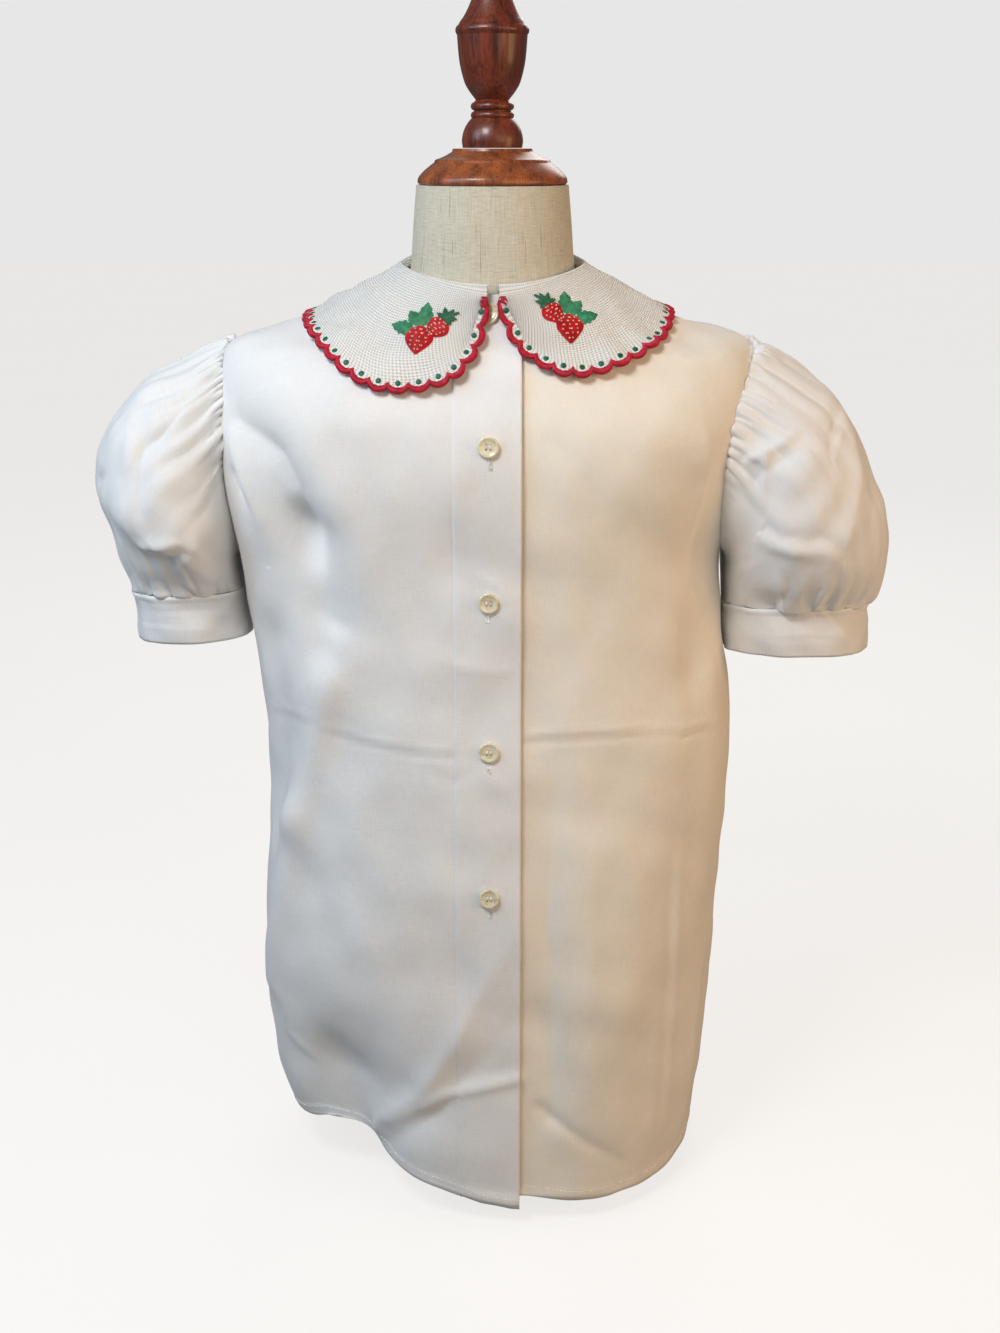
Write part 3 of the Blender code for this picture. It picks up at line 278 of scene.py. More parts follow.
SLEEVE_CREASES = {
    "right": (
        (((112, 4.10), (120, 3.10), (127, 2.10), (138, 0.40)), .0060, -.0024, 0.2, 0.8, "step"),
        (((153, 3.75), (152, 2.95), (147, 2.35), (140, 1.90)), .0042, -.0030, 0.5, 0.3, "soft"),
        (((133, 3.30), (149, 3.60), (162, 4.30), (171, 5.30)), .0046, -.0026, 0.4, 0.4, "soft"),
        (((128, 3.60), (143, 4.10), (156, 4.90)), .0070, .0022, 0.4, 0.2, "soft"),
        (((120, 5.80), (139, 5.30)), .0038, -.0030, 1.0, 0.1, "soft"),
        (((168, 6.70), (178, 6.45), (186, 5.90), (194, 5.10)), .0036, .0034, 0.6, 0.4, "soft"),
        (((170, 7.15), (182, 6.90), (192, 6.20), (199, 5.40)), .0055, -.0036, 0.5, 0.4, "soft"),
        (((204, 3.60), (206, 5.00), (202, 6.40)), .0065, .0024, 0.2, 0.3, "soft"),
        (((222, 3.20), (226, 4.80), (222, 6.60)), .0060, -.0022, 0.3, 0.3, "soft"),
        (((64, 3.30), (52, 4.10), (38, 5.40)), .0065, .0024, 0.3, 0.2, "soft"),
        (((30, 2.20), (22, 3.10), (14, 4.60)), .0052, -.0026, 0.7, 0.2, "soft"),
        (((4, 6.70), (352, 6.20), (344, 5.30)), .0042, .0030, 0.5, 0.4, "soft"),
        (((86, 5.40), (70, 5.90), (58, 6.80)), .0060, -.0022, 0.4, 0.3, "soft"),
    ),
    "left": (
        (((181, 1.10), (170, 1.75), (154, 2.35)), .0024, .0030, 0.8, 0.4, "soft"),
        (((186, 1.50), (176, 2.00), (160, 2.70)), .0034, -.0020, 0.6, 0.3, "soft"),
        (((174, 1.60), (184, 1.95), (192, 2.40)), .0026, .0020, 0.8, 0.2, "soft"),
        (((117, 3.40), (131, 3.50), (146, 3.68)), .0024, .0024, 0.6, 0.5, "step"),
        (((118, 3.30), (126, 4.00), (137, 4.60), (153, 5.20), (168, 6.20)), .0055, .0022, 0.4, 0.2, "soft"),
        (((112, 4.00), (121, 4.80), (135, 5.50), (148, 6.40)), .0080, -.0016, 0.3, 0.3, "soft"),
        (((202, 3.20), (196, 4.20), (186, 5.10), (166, 6.40)), .0060, -.0030, 0.5, 0.3, "step"),
        (((190, 8.80), (198, 7.40), (204, 6.30)), .0038, .0026, 1.0, 0.2, "soft"),
        (((183, 8.80), (187, 7.60), (186, 6.30)), .0032, .0024, 1.0, 0.1, "soft"),
        (((176, 8.80), (176, 7.70), (172, 6.70)), .0034, .0022, 1.0, 0.1, "soft"),
        (((218, 3.60), (224, 5.20), (222, 7.00)), .0060, .0022, 0.3, 0.4, "soft"),
        (((232, 5.00), (236, 6.40), (230, 7.80)), .0050, -.0022, 0.2, 0.5, "soft"),
        (((60, 3.00), (50, 4.00), (36, 5.10)), .0062, .0028, 0.3, 0.2, "soft"),
        (((24, 1.90), (16, 3.00), (10, 4.30)), .0048, -.0028, 0.8, 0.2, "soft"),
        (((358, 6.50), (348, 6.10), (338, 5.20)), .0046, .0028, 0.5, 0.4, "soft"),
        (((92, 5.20), (74, 5.80), (62, 6.90)), .0062, -.0022, 0.4, 0.3, "soft"),
    ),
}
CUFF_CREASES = {
    "right": (
        (((120, .35), (160, .38), (205, .33)), .0014, -.0004, 0.5, 0.3, "step"),
        (((150, .62), (190, .66), (228, .60)), .0014, -.0004, 0.3, 0.5, "step"),
        (((20, .50), (60, .46), (95, .52)), .0014, -.0004, 0.3, 0.5, "step"),
    ),
    "left": (
        (((166, .96), (152, .55), (138, .06)), .0018, .0006, 0.8, 0.8, "step"),
        (((200, .42), (176, .45), (150, .40)), .0014, -.0004, 0.4, 0.3, "step"),
        (((15, .40), (48, .45), (85, .38)), .0014, -.0004, 0.4, 0.3, "step"),
    ),
}
SLEEVE_RADIUS, SLEEVE_RISE = 0.055, 0.022  # metres for a radian round a sleeve and for a level
CUFF_RADIUS = 0.036

# Fine gathers of the sleeve caps and the pleats above the cuffs
CAP_GATHERS = {"left": 38, "right": 42}
CUFF_PLEATS = {"left": 18, "right": 17}
LOBE_SHARE = 0.45  # how much of the solids' broad lobes shows between the finer gathers
GATHER_HEIGHT = 0.0046
PLEAT_HEIGHT = 0.0032

# Embroidery on the collar
SATIN_WIDTH = 0.0030  # red edge
FIRST_COLLAR_ROW = 8  # of the collar's grid, where it leaves the neckline
SATIN_PITCH = 0.00042
SATIN_HEIGHT = 0.00055
SATIN_ARCH = np.array([0.0001, 0.75, 1.0, 0.9, 0.35])  # shares of the height, inner side to edge
DOT_INSET = 0.0056
DOT_RADIUS = 0.00155
STRAWBERRY_COLUMNS = ("turn", "fall", "mirror", "tilt")
STRAWBERRIES = ((-18.0, 0.0270, 1, -24.0), (23.0, 0.0235, -1, -20.0))
BERRY_COLUMNS = ("x", "y", "half_width", "length", "tilt")
BERRIES = ((0.0036, 0.0028, 0.0060, 0.0140, -22.0), (-0.0022, -0.0068, 0.0072, 0.0158, 12.0))
LEAF_COLUMNS = ("x", "y", "length", "half_width", "turn")
LEAVES = (
    (-0.0034, 0.0010, 0.0135, 0.0040, 102.0), (-0.0066, -0.0030, 0.0125, 0.0038, 178.0),
    (-0.0050, 0.0004, 0.0110, 0.0034, 140.0),
)
SEPALS = (
    (0.0060, 0.0092, 0.0056, 0.0013, 20.0), (0.0060, 0.0092, 0.0060, 0.0013, 70.0),
    (0.0060, 0.0092, 0.0058, 0.0014, 118.0), (0.0060, 0.0092, 0.0056, 0.0013, 166.0),
    (0.0060, 0.0092, 0.0044, 0.0012, -28.0),
)

# Colours of the finishes, linear
COTTON = (0.86, 0.86, 0.86)
# Beige-tinted copy of the white cotton for the wearer's left front: the tint is painted warm light from the
# right-hand lamps, not a colour of the cloth
COTTON_PAINTED_WARM_LIGHT = (0.90, 0.84, 0.74)
THREAD_RED = (0.50, 0.010, 0.035)
BERRY_RED = (0.52, 0.005, 0.012)
LEAF_GREEN = (0.045, 0.26, 0.13)
WHITE = (1, 1, 1)
PIQUE_PITCH = 0.0032  # metres from one lozenge to the next
DOT_GREEN = (0.010, 0.13, 0.07)


# Tables and smooth curves

def columns_of(rows, names):
    """A table's columns by name, as arrays."""
    return dict(zip(names, np.array(rows, float).T))


def smooth_column(values, level):
    """A column's value at a fractional row number, on a smooth curve through its rows."""
    level = np.clip(np.asarray(level, float), 0, len(values) - 1)
    row = np.minimum(level.astype(int), len(values) - 2)
    part = level - row
    here, after = values[row], values[row + 1]
    before = np.where(row > 0, values[np.maximum(row - 1, 0)], 2 * here - after)
    last = len(values) - 1
    beyond = np.where(row + 2 <= last, values[np.minimum(row + 2, last)], 2 * after - here)
    slope_here, slope_after = (after - before) / 2, (beyond - here) / 2
    square, cube = part**2, part**3
    return (
        here * (2 * cube - 3 * square + 1)
        + slope_here * (cube - 2 * square + part)
        + after * (3 * square - 2 * cube)
        + slope_after * (cube - square)
    )


def ease(value):
    """A smooth step from 0 to 1."""
    value = np.clip(value, 0.0, 1.0)
    return value * value * (3 - 2 * value)


def unit(vectors):
    return vectors / np.maximum(np.linalg.norm(vectors, axis=-1, keepdims=True), 1e-12)


BODY = columns_of(BODY_ROWS, BODY_COLUMNS)
SLEEVES = {side: columns_of(rows, SLEEVE_COLUMNS) for side, rows in SLEEVE_ROWS.items()}


# Body surface

def oval(angle, at, half, fullness):
    """A place on a rounded outline whose front, back and sides have their own depths and heights."""
    cosine, sine = np.cos(angle), np.sin(angle)
    power = 2 / fullness
    depth = np.where(sine < 0, at["front_depth"], at["back_depth"])
    end_z = np.where(sine < 0, at["front_z"], at["back_z"])
    x = half * np.sign(cosine) * np.abs(cosine) ** power
    y = depth * np.sign(sine) * np.abs(sine) ** power
    z = at["side_z"] + (end_z - at["side_z"]) * sine**2
    return np.stack([x, y, z], -1)


def body_hull(angle, level):
    """The body's surface before its folds."""
    at = {name: smooth_column(BODY[name], level) for name in BODY_COLUMNS}
    half = np.where(np.cos(angle) >= 0, at["left_half"], at["right_half"])
    point = oval(angle, at, half, at["fullness"])
    turn = (np.degrees(angle) + 270) % 360 - 270
    hem = np.interp(turn, *np.array(HEM_ROWS).T) - BODY["side_z"][0]
    point[..., 2] += hem * np.clip(1 - level, 0, 1) ** 2
    return point


def hull_normal(angle, level, step=0.004):
    """Outward direction of the body's surface before its folds."""
    round_it = body_hull(angle + step, level) - body_hull(angle - step, level)
    up_it = body_hull(angle, level + step) - body_hull(angle, level - step)
    return unit(np.cross(round_it, up_it))


def fold_height(angle, height):
    """How far the folds raise the cloth at a place on the body."""
    total = np.zeros(np.broadcast(angle, height).shape)
    for fold in FOLDS:
        at = dict(zip(FOLD_COLUMNS, fold))
        turn = (np.degrees(angle) - at["start_angle"] + 180) % 360 - 180
        across = np.radians(turn) * MEAN_RADIUS
        up = height - at["start_z"]
        run_across = math.radians(at["end_angle"] - at["start_angle"]) * MEAN_RADIUS
        run_up = at["end_z"] - at["start_z"]
        length = run_across**2 + run_up**2
        along = np.clip((across * run_across + up * run_up) / length, 0, 1)
        distance = np.hypot(across - along * run_across, up - along * run_up)
        total = total + at["height"] * np.exp(-((distance / at["width"]) ** 2))
    return total


def body_cloth(angle, level):
    """The middle of the body's cloth, folds included."""
    hull = body_hull(angle, level)
    on_shoulder = ease((level - UNDERARM_LEVEL) / (TIP_LEVEL - UNDERARM_LEVEL))
    raised = fold_height(angle, hull[..., 2]) * (1 - on_shoulder)
    return hull + hull_normal(angle, level) * raised[..., None]


def cloth_normal(angle, level, step=0.004):
    """Outward direction of the body's cloth."""
    round_it = body_cloth(angle + step, level) - body_cloth(angle - step, level)
    up_it = body_cloth(angle, level + step) - body_cloth(angle, level - step)
    return unit(np.cross(round_it, up_it))


def angle_at_x(x, level):
    """The angle on the front at which the body's surface has this x."""
    half = smooth_column(BODY["left_half" if x >= 0 else "right_half"], level)
    fullness = smooth_column(BODY["fullness"], level)
    cosine = math.copysign(1, x) * (abs(x) / half) ** (fullness / 2)
    return -np.arccos(cosine)


def angle_from_side(distance, level, depth_name):
    """The angle from a side at which the body's surface is this far in front or behind it."""
    depth = smooth_column(BODY[depth_name], level)
    fullness = smooth_column(BODY["fullness"], level)
    return np.arcsin((distance / depth) ** (fullness / 2))


# Armholes

def armhole_turn(side, level, front):
    """How far, in radians, the armhole's edge lies from the side at a level."""
    share = np.clip((level - UNDERARM_LEVEL) / (TIP_LEVEL - UNDERARM_LEVEL), 0, 1)
    spread = ARMHOLE_SPREAD[side][0 if front else 1]
    return math.radians(spread) * 2 * np.sqrt(share * (1 - share))


def side_edge(side, level, front):
    """Angle of a panel's outer edge: side seam, armhole, then shoulder seam."""
    depth_name = "front_depth" if front else "back_depth"
    seam = angle_from_side(SEAM_GAP / 2, level, depth_name)
    turn = np.maximum(armhole_turn(side, level, front), seam)
    away = -turn if front else turn
    return away if side == "left" else np.where(away < 0, -math.pi - away, math.pi - away)


def armhole_points(side, round_angle):
    """Places on the armhole's edge, and there the cloth's normal and the way into the hole."""
    turn = np.linspace(-math.pi / 2, math.pi / 2, ARMHOLE_BANDS + 1)
    levels = UNDERARM_LEVEL + (TIP_LEVEL - UNDERARM_LEVEL) * (1 + np.sin(turn)) / 2
    place = (round_angle + math.pi / 2) % (2 * math.pi) - math.pi / 2
    is_front = place > math.pi / 2
    found = np.zeros(np.shape(round_angle) + (3,))
    normal = np.zeros_like(found)
    for front in (True, False):
        edge = side_edge(side, levels, front)
        points = body_cloth(edge, levels)
        normals = cloth_normal(edge, levels)
        where = math.pi - place if front else place
        use = is_front if front else ~is_front
        for axis in range(3):
            found[..., axis] = np.where(use, np.interp(where, turn, points[:, axis]), found[..., axis])
            normal[..., axis] = np.where(use, np.interp(where, turn, normals[:, axis]), normal[..., axis])
    centre = found.mean(axis=0)
    inward = centre - found
    inward -= normal * (inward * normal).sum(-1, keepdims=True)
    return found, unit(normal), unit(inward)


# Puff sleeves

def outwardness(round_angle):
    """From -1 at a sleeve's side next to the body to 1 at its outer side."""
    sine = np.sin(round_angle)
    return np.where(sine < 0, -(np.abs(sine) ** INNER_FULLNESS), sine)


def sleeve_section(side, round_angle, level):
    """A sleeve's surface as its sections give it, before it meets the armhole."""
    at = {name: smooth_column(SLEEVES[side][name], level) for name in SLEEVE_COLUMNS}
    mirror = 1 if side == "left" else -1
    inner = np.stack([mirror * at["inner_x"], 0 * level, at["inner_z"]], -1)
    outer = np.stack([mirror * at["outer_x"], 0 * level, at["outer_z"]], -1)
    centre, half = (inner + outer) / 2, (outer - inner) / 2
    offset = half * outwardness(round_angle)[..., None]
    offset[..., 1] += at["half_depth"] * np.cos(round_angle)
    start, span = math.radians(GATHER_START), math.radians(GATHER_SPAN)
    place = ((round_angle - start) % (2 * math.pi)) / span
    inside = ease(place / 0.06) * ease((1 - place) / 0.06) * (place < 1)
    strength = np.array(GATHER_STRENGTHS)[np.round(GATHERS * place).astype(int) % GATHERS]
    wave = np.cos(2 * math.pi * GATHERS * place) * inside * strength
    offset += unit(offset) * (LOBE_SHARE * at["gather"] * wave)[..., None]
    point = centre + offset
    share = ease(level / (len(SLEEVE_ROWS[side]) - 1))
    point[..., 2] -= BACK_DROP * point[..., 1] * share
    return point


def sleeve_surface(side, round_angle, level):
    """The middle of a sleeve's cloth. Round angle 90 degrees is its top, 180 its front."""
    point = sleeve_section(side, round_angle, level)
    edge, normal, inward = armhole_points(side, round_angle)
    under = np.maximum(ease(0.35 - np.sin(round_angle)), 0.6)
    start = edge + inward * 0.0003 + normal * (0.0002 * under)[..., None]
    gap = start - sleeve_section(side, round_angle, np.zeros_like(level))
    return point + gap * (1 - ease(level / SLEEVE_BLEND))[..., None]


# Collar

def hull_walk(angle, distance):
    """The body's surface at a distance down from the neckline, and its normal there."""
    levels = np.linspace(NECK_LEVEL, 7.0, 61)
    path = body_hull(angle[..., None], np.broadcast_to(levels, angle.shape + levels.shape))
    steps = np.linalg.norm(np.diff(path, axis=-2), axis=-1)
    run = np.concatenate([np.zeros(angle.shape + (1,)), np.cumsum(steps, -1)], -1)
    found = np.array([
        np.interp(d, r, levels) for d, r in zip(distance.ravel(), run.reshape(-1, len(levels)))
    ]).reshape(angle.shape)
    return body_hull(angle, found), hull_normal(angle, found)


def collar_outline(count):
    """Angles and distances from the neckline of the collar's edge, evenly spaced along it."""
    turns, falls = [], []
    for side, sign in (("left", 1), ("right", -1)):
        rows = columns_of(COLLAR_ROWS[side], COLLAR_COLUMNS)
        place = np.linspace(0, len(COLLAR_ROWS[side]) - 1, 141)
        turns.append(sign * np.radians(smooth_column(rows["turn"], place)))
        falls.append(smooth_column(rows["fall"], place))
    angle = np.concatenate([turns[0], 2 * math.pi + turns[1][-2::-1]]) - math.pi / 2
    fall = np.maximum(np.concatenate([falls[0], falls[1][-2::-1]]), 0)
    points = collar_surface(angle, fall, np.ones(len(angle)))
    run = distances(points)
    places = np.linspace(0, run[-1], count)
    return np.interp(places, run, angle), np.interp(places, run, fall)


def collar_surface(angle, fall, share):
    """A place on the middle of the collar. Share is 0 at the neck and 1 at the edge."""
    point, normal = hull_walk(angle, fall)
    frontness = ease(-np.sin(angle) * 1.6 - 0.5)
    edge_lift = COLLAR_EDGE_LIFT_SIDE + (COLLAR_EDGE_LIFT_FRONT - COLLAR_EDGE_LIFT_SIDE) * frontness
    lift = COLLAR_LIFT + (edge_lift - COLLAR_LIFT) * share
    return point + normal * lift[..., None]


def hull_place(points, angle, fall):
    """Angles and distances from the neckline of places on the collar, found step by step."""
    angle, fall = angle.copy(), fall.copy()
    small = 0.002
    for _ in range(8):
        here = collar_surface(angle, fall, np.ones(len(angle)))
        aside = (collar_surface(angle + small, fall, np.ones(len(angle))) - here) / small
        down = (collar_surface(angle, fall + small, np.ones(len(angle))) - here) / small
        miss = points - here
        aa, ad, dd = (aside * aside).sum(-1), (aside * down).sum(-1), (down * down).sum(-1)
        ma, md = (miss * aside).sum(-1), (miss * down).sum(-1)
        size = aa * dd - ad * ad
        angle += (ma * dd - md * ad) / size
        fall = np.maximum(fall + (md * aa - ma * ad) / size, 0.0)
    return angle, fall

# Fine shapes of the cloth

def crease_height(turn, rise, creases, radius, rise_scale):
    """How far the creases raise the cloth. Turn is in degrees, rise in the creases' own unit."""
    total = np.zeros(np.broadcast(turn, rise).shape)
    for crease in creases:
        at = dict(zip(CREASE_COLUMNS, crease))
        path = np.array(at["path"], float)
        x = np.radians((turn - path[0, 0] + 180) % 360 - 180) * radius
        y = (rise - path[0, 1]) * rise_scale
        steps = (path[:, 0] - path[0, 0] + 180) % 360 - 180
        path = np.stack([np.radians(steps) * radius, (path[:, 1] - path[0, 1]) * rise_scale], -1)
        lengths = np.linalg.norm(np.diff(path, axis=0), axis=1)
        best = np.full(total.shape, 9.0)
        side, along = np.zeros(total.shape), np.zeros(total.shape)
        done = 0.0
        for (ax, ay), (bx, by), length in zip(path[:-1], path[1:], lengths):
            share = np.clip(((x - ax) * (bx - ax) + (y - ay) * (by - ay)) / length**2, 0, 1)
            dx, dy = x - ax - share * (bx - ax), y - ay - share * (by - ay)
            distance = np.hypot(dx, dy)
            closer = distance < best
            best = np.where(closer, distance, best)
            side = np.where(closer, np.sign((bx - ax) * dy - (by - ay) * dx), side)
            along = np.where(closer, (done + share * length) / lengths.sum(), along)
            done += length
        strength = np.interp(along, [0, 0.4, 1], [at["start"], 1, at["end"]])
        near = best / at["width"]
        form = np.exp(-near**1.4) if at["kind"] == "soft" else side * near * np.exp(-near**2) * 1.6
        total = total + at["height"] * strength * form
    return total


def crumple(points, seed, height, shortest, longest, waves=14):
    """Small uneven waves of worn cloth, the same on every run."""
    chance = np.random.default_rng(seed)
    total = np.zeros(points.shape[:-1])
    for _ in range(waves):
        way = unit(chance.normal(size=3))
        length = shortest * (longest / shortest) ** chance.random()
        total = total + np.sin(points @ way * 2 * math.pi / length + chance.random() * 6.3) * length
    return total * height / (math.sqrt(waves / 2) * longest)


def panel_levels():
    low = np.linspace(0, UNDERARM_LEVEL, PANEL_ROWS[0] + 1)
    turn = np.linspace(0, math.pi, PANEL_ROWS[1] + 1)
    middle = UNDERARM_LEVEL + (TIP_LEVEL - UNDERARM_LEVEL) * (1 - np.cos(turn)) / 2
    high = np.linspace(TIP_LEVEL, NECK_LEVEL, PANEL_ROWS[2] + 1)
    return np.concatenate([low, middle[1:], high[1:]])


def panel_relief(angle, level, base, from_seam):
    """Height of the fine folds, none where a panel meets a sleeve."""
    creases = crease_height(np.degrees(angle), base[..., 2], BODY_CREASES, MEAN_RADIUS, 1.0)
    raised = CREASE_SHARES["body"] * creases
    raised = raised + crumple(base, 11, 0.0011, 0.022, 0.075)
    beside_sleeve = ease((level - 5.6) / 0.5) * ease((9.4 - level) / 0.3)
    return raised * (1 - beside_sleeve * (1 - ease(from_seam / 0.012)))


def hem_step(points):
    """The turned-up hem stands a little proud."""
    return HEM_STEP * ease((HEM_BAND + 0.0006 - distances(points)) / 0.0012)


def grid_normals(points):
    """Outward normals of a grid whose rows run upwards and columns anticlockwise from above."""
    return unit(np.cross(np.gradient(points, axis=1), np.gradient(points, axis=0)))


def outward_normals(points):
    """Outward normals of a grid that closes on itself."""
    round_it = np.roll(points, -1, axis=1) - np.roll(points, 1, axis=1)
    normals = unit(np.cross(round_it, np.gradient(points, axis=0)))
    return normals if (normals * (points - points.mean(axis=(0, 1)))).sum() >= 0 else -normals


def upward_normals(points):
    """Normals of the collar's grid, which look up."""
    normals = grid_normals(points)
    return normals if normals[len(points) // 2, :, 2].mean() >= 0 else -normals


def distances(points):
    """Distances along a line or a grid of points, from its first."""
    steps = np.linalg.norm(np.diff(points, axis=0), axis=-1)
    return np.concatenate([np.zeros((1,) + steps.shape[1:]), np.cumsum(steps, 0)])


def front_panel(side):
    """Middle points of one front."""
    levels = panel_levels()
    outer = side_edge(side, levels, front=True)
    if side == "right":
        stops = (CLOSING_EDGE_X, PLACKET_FOLD_X + 0.0012, PLACKET_FOLD_X - 0.0010)
    else:
        stops = (UNDERLAP_EDGE_X, CLOSING_EDGE_X, CLOSING_EDGE_X + 0.0300)
    stops = [angle_at_x(x, levels) for x in stops] + [outer]
    parts = [
        start[:, None] + (end - start)[:, None] * np.arange(count) / count
        for start, end, count in zip(stops, stops[1:], FRONT_PANEL_COLUMNS[side])
    ]
    angle = np.concatenate(parts + [outer[:, None]], axis=1)
    level = np.broadcast_to(levels[:, None], angle.shape)
    middle, normals = body_cloth(angle, level), cloth_normal(angle, level)
    raised = panel_relief(angle, level, middle, np.abs(outer[:, None] - angle) * MEAN_RADIUS)
    past_edge = middle[..., 0] - CLOSING_EDGE_X
    if side == "left":
        raised = raised - LAYER_STEP * (1 - ease((past_edge - 0.004) / UNDERLAP_BLEND))
    else:
        corner = ease(1 + past_edge / CORNER_DROOP_SPAN)
        middle[..., 2] -= CORNER_DROOP * corner * np.clip(1 - level, 0, 1) ** 2
        beside = middle[..., 0] - PLACKET_FOLD_X
        groove = np.exp(-((beside + 0.0003) / 0.0008) ** 2)
        raised = raised + PLACKET_STEP * ease(beside / 0.0010) - PLACKET_GROOVE * groove
        raised = raised + 0.0003 * ease((past_edge + 0.0016) / 0.0016)
    points = middle + normals * (raised + hem_step(middle))[..., None]
    return points if side == "left" else points[:, ::-1]


def back_panel():
    levels = panel_levels()
    start, end = (side_edge(side, levels, front=False)[:, None] for side in ("left", "right"))
    angle = start + (end - start) * np.linspace(0, 1, BACK_PANEL_COLUMNS + 1)
    level = np.broadcast_to(levels[:, None], angle.shape)
    middle, normals = body_cloth(angle, level), cloth_normal(angle, level)
    from_seam = np.minimum(angle - start, end - angle) * MEAN_RADIUS
    raised = panel_relief(angle, level, middle, from_seam) + hem_step(middle)
    return middle + normals * raised[..., None]


def gather_height(place, reach, count, seed, shortest, longest):
    """Rounded gathers with narrow valleys. Place runs from 0 to 1 along the gathered edge and
    reach is the distance from it, in levels."""
    chance = np.random.default_rng(seed)
    knots = np.linspace(0, 1, count + 1)
    shift = np.concatenate([[0], chance.uniform(-0.32, 0.32, count - 1), [0]]) / count
    drift = chance.normal(0, 0.16 / count, count + 1)
    edges = knots + shift
    lean = np.interp(place, knots, drift) * np.minimum(reach, 3.0)
    phase = np.interp(place + lean, edges, np.arange(count + 1))
    number = np.clip(phase.astype(int), 0, count - 1)
    heights = chance.uniform(0.45, 1.25, count)[number]
    lengths = (shortest * (longest / shortest) ** chance.random(count))[number]
    fade = (1 - ease(reach / lengths)) * ease(reach / 0.10 + 0.25)
    ridge = np.abs(np.sin(math.pi * (phase - number))) ** 0.62
    return (ridge * heights - 0.30) * fade


def sleeve_panel(side):
    """Middle points of a sleeve, gathered at the armhole and pleated into the cuff."""
    last = len(SLEEVE_ROWS[side]) - 1
    even = np.linspace(0, 1, SLEEVE_PANEL_ROWS + 1)
    levels = last * (even - 0.085 * np.sin(2 * math.pi * even) / math.pi * 1.4)
    turn = 2 * math.pi * np.arange(SLEEVE_PANEL_COLUMNS) / SLEEVE_PANEL_COLUMNS
    base = np.stack([sleeve_surface(side, turn, np.full(len(turn), level)) for level in levels])
    normals = outward_normals(base)
    round_deg = np.broadcast_to(np.degrees(turn), base.shape[:2])
    level = np.broadcast_to(levels[:, None], base.shape[:2])
    place = ((round_deg - GATHER_START) % 360) / GATHER_SPAN
    inside = ease(place / 0.05) * ease((1 - place) / 0.05)
    place = np.clip(place, 0, 0.9999)
    seed = 5 if side == "left" else 8
    cap = gather_height(place, level, CAP_GATHERS[side], seed, 0.7, 3.0) * inside
    round_place = (round_deg % 360) / 360
    pleats = gather_height(round_place, last - level, CUFF_PLEATS[side], seed + 20, 0.6, 2.6)
    raised = GATHER_HEIGHT * cap + PLEAT_HEIGHT * pleats
    creases = crease_height(round_deg, level, SLEEVE_CREASES[side], SLEEVE_RADIUS, SLEEVE_RISE)
    edge_fade = ease(level / 0.5) * ease((last - level) / 0.35)
    raised = raised + CREASE_SHARES["sleeve"] * creases * edge_fade
    raised = raised + crumple(base, seed + 40, 0.0013, 0.018, 0.060) * edge_fade
    beside_body = ease((-np.sin(turn) - 0.35) / 0.4)
    return base + normals * (raised * (1 - 0.7 * beside_body))[..., None]


def cuff_panel(side):
    """Middle points of a cuff, from its lower edge up to the gathers."""
    turn = 2 * math.pi * np.arange(CUFF_PANEL_COLUMNS) / CUFF_PANEL_COLUMNS
    last = len(SLEEVE_ROWS[side]) - 1
    at = {name: column[last] for name, column in SLEEVES[side].items()}
    mirror = 1 if side == "left" else -1
    axis = np.array([mirror * (at["outer_x"] - at["inner_x"]), 0, at["outer_z"] - at["inner_z"]])
    half = np.linalg.norm(axis) / 2 + CUFF_EASE
    across = unit(axis)
    centre = np.array([mirror * (at["outer_x"] + at["inner_x"]) / 2, 0, (at["outer_z"] + at["inner_z"]) / 2])
    down = np.array([mirror * CUFF_LEAN[side], 0, -1])
    share = np.linspace(0, 1, CUFF_PANEL_ROWS + 1)
    rows = []
    for drop in CUFF_HEIGHT + (0.0002 - CUFF_HEIGHT) * share:
        ring = centre + down * drop + np.outer(half * outwardness(turn), across)
        ring[:, 1] += (at["half_depth"] + CUFF_EASE) * np.cos(turn)
        ring[:, 2] -= BACK_DROP * ring[:, 1]
        rows.append(ring)
    points = np.stack(rows)
    normals = outward_normals(points)
    round_deg = np.broadcast_to(np.degrees(turn), points.shape[:2])
    rise = np.broadcast_to(share[:, None], points.shape[:2])
    raised = crease_height(round_deg, rise, CUFF_CREASES[side], CUFF_RADIUS, CUFF_HEIGHT)
    raised = raised + crumple(points, 71, 0.0008, 0.012, 0.035)
    raised = raised + 0.0010 * np.exp(-(((rise - 0.96) * CUFF_HEIGHT / 0.0011) ** 2))
    return points + normals * raised[..., None]


# Collar

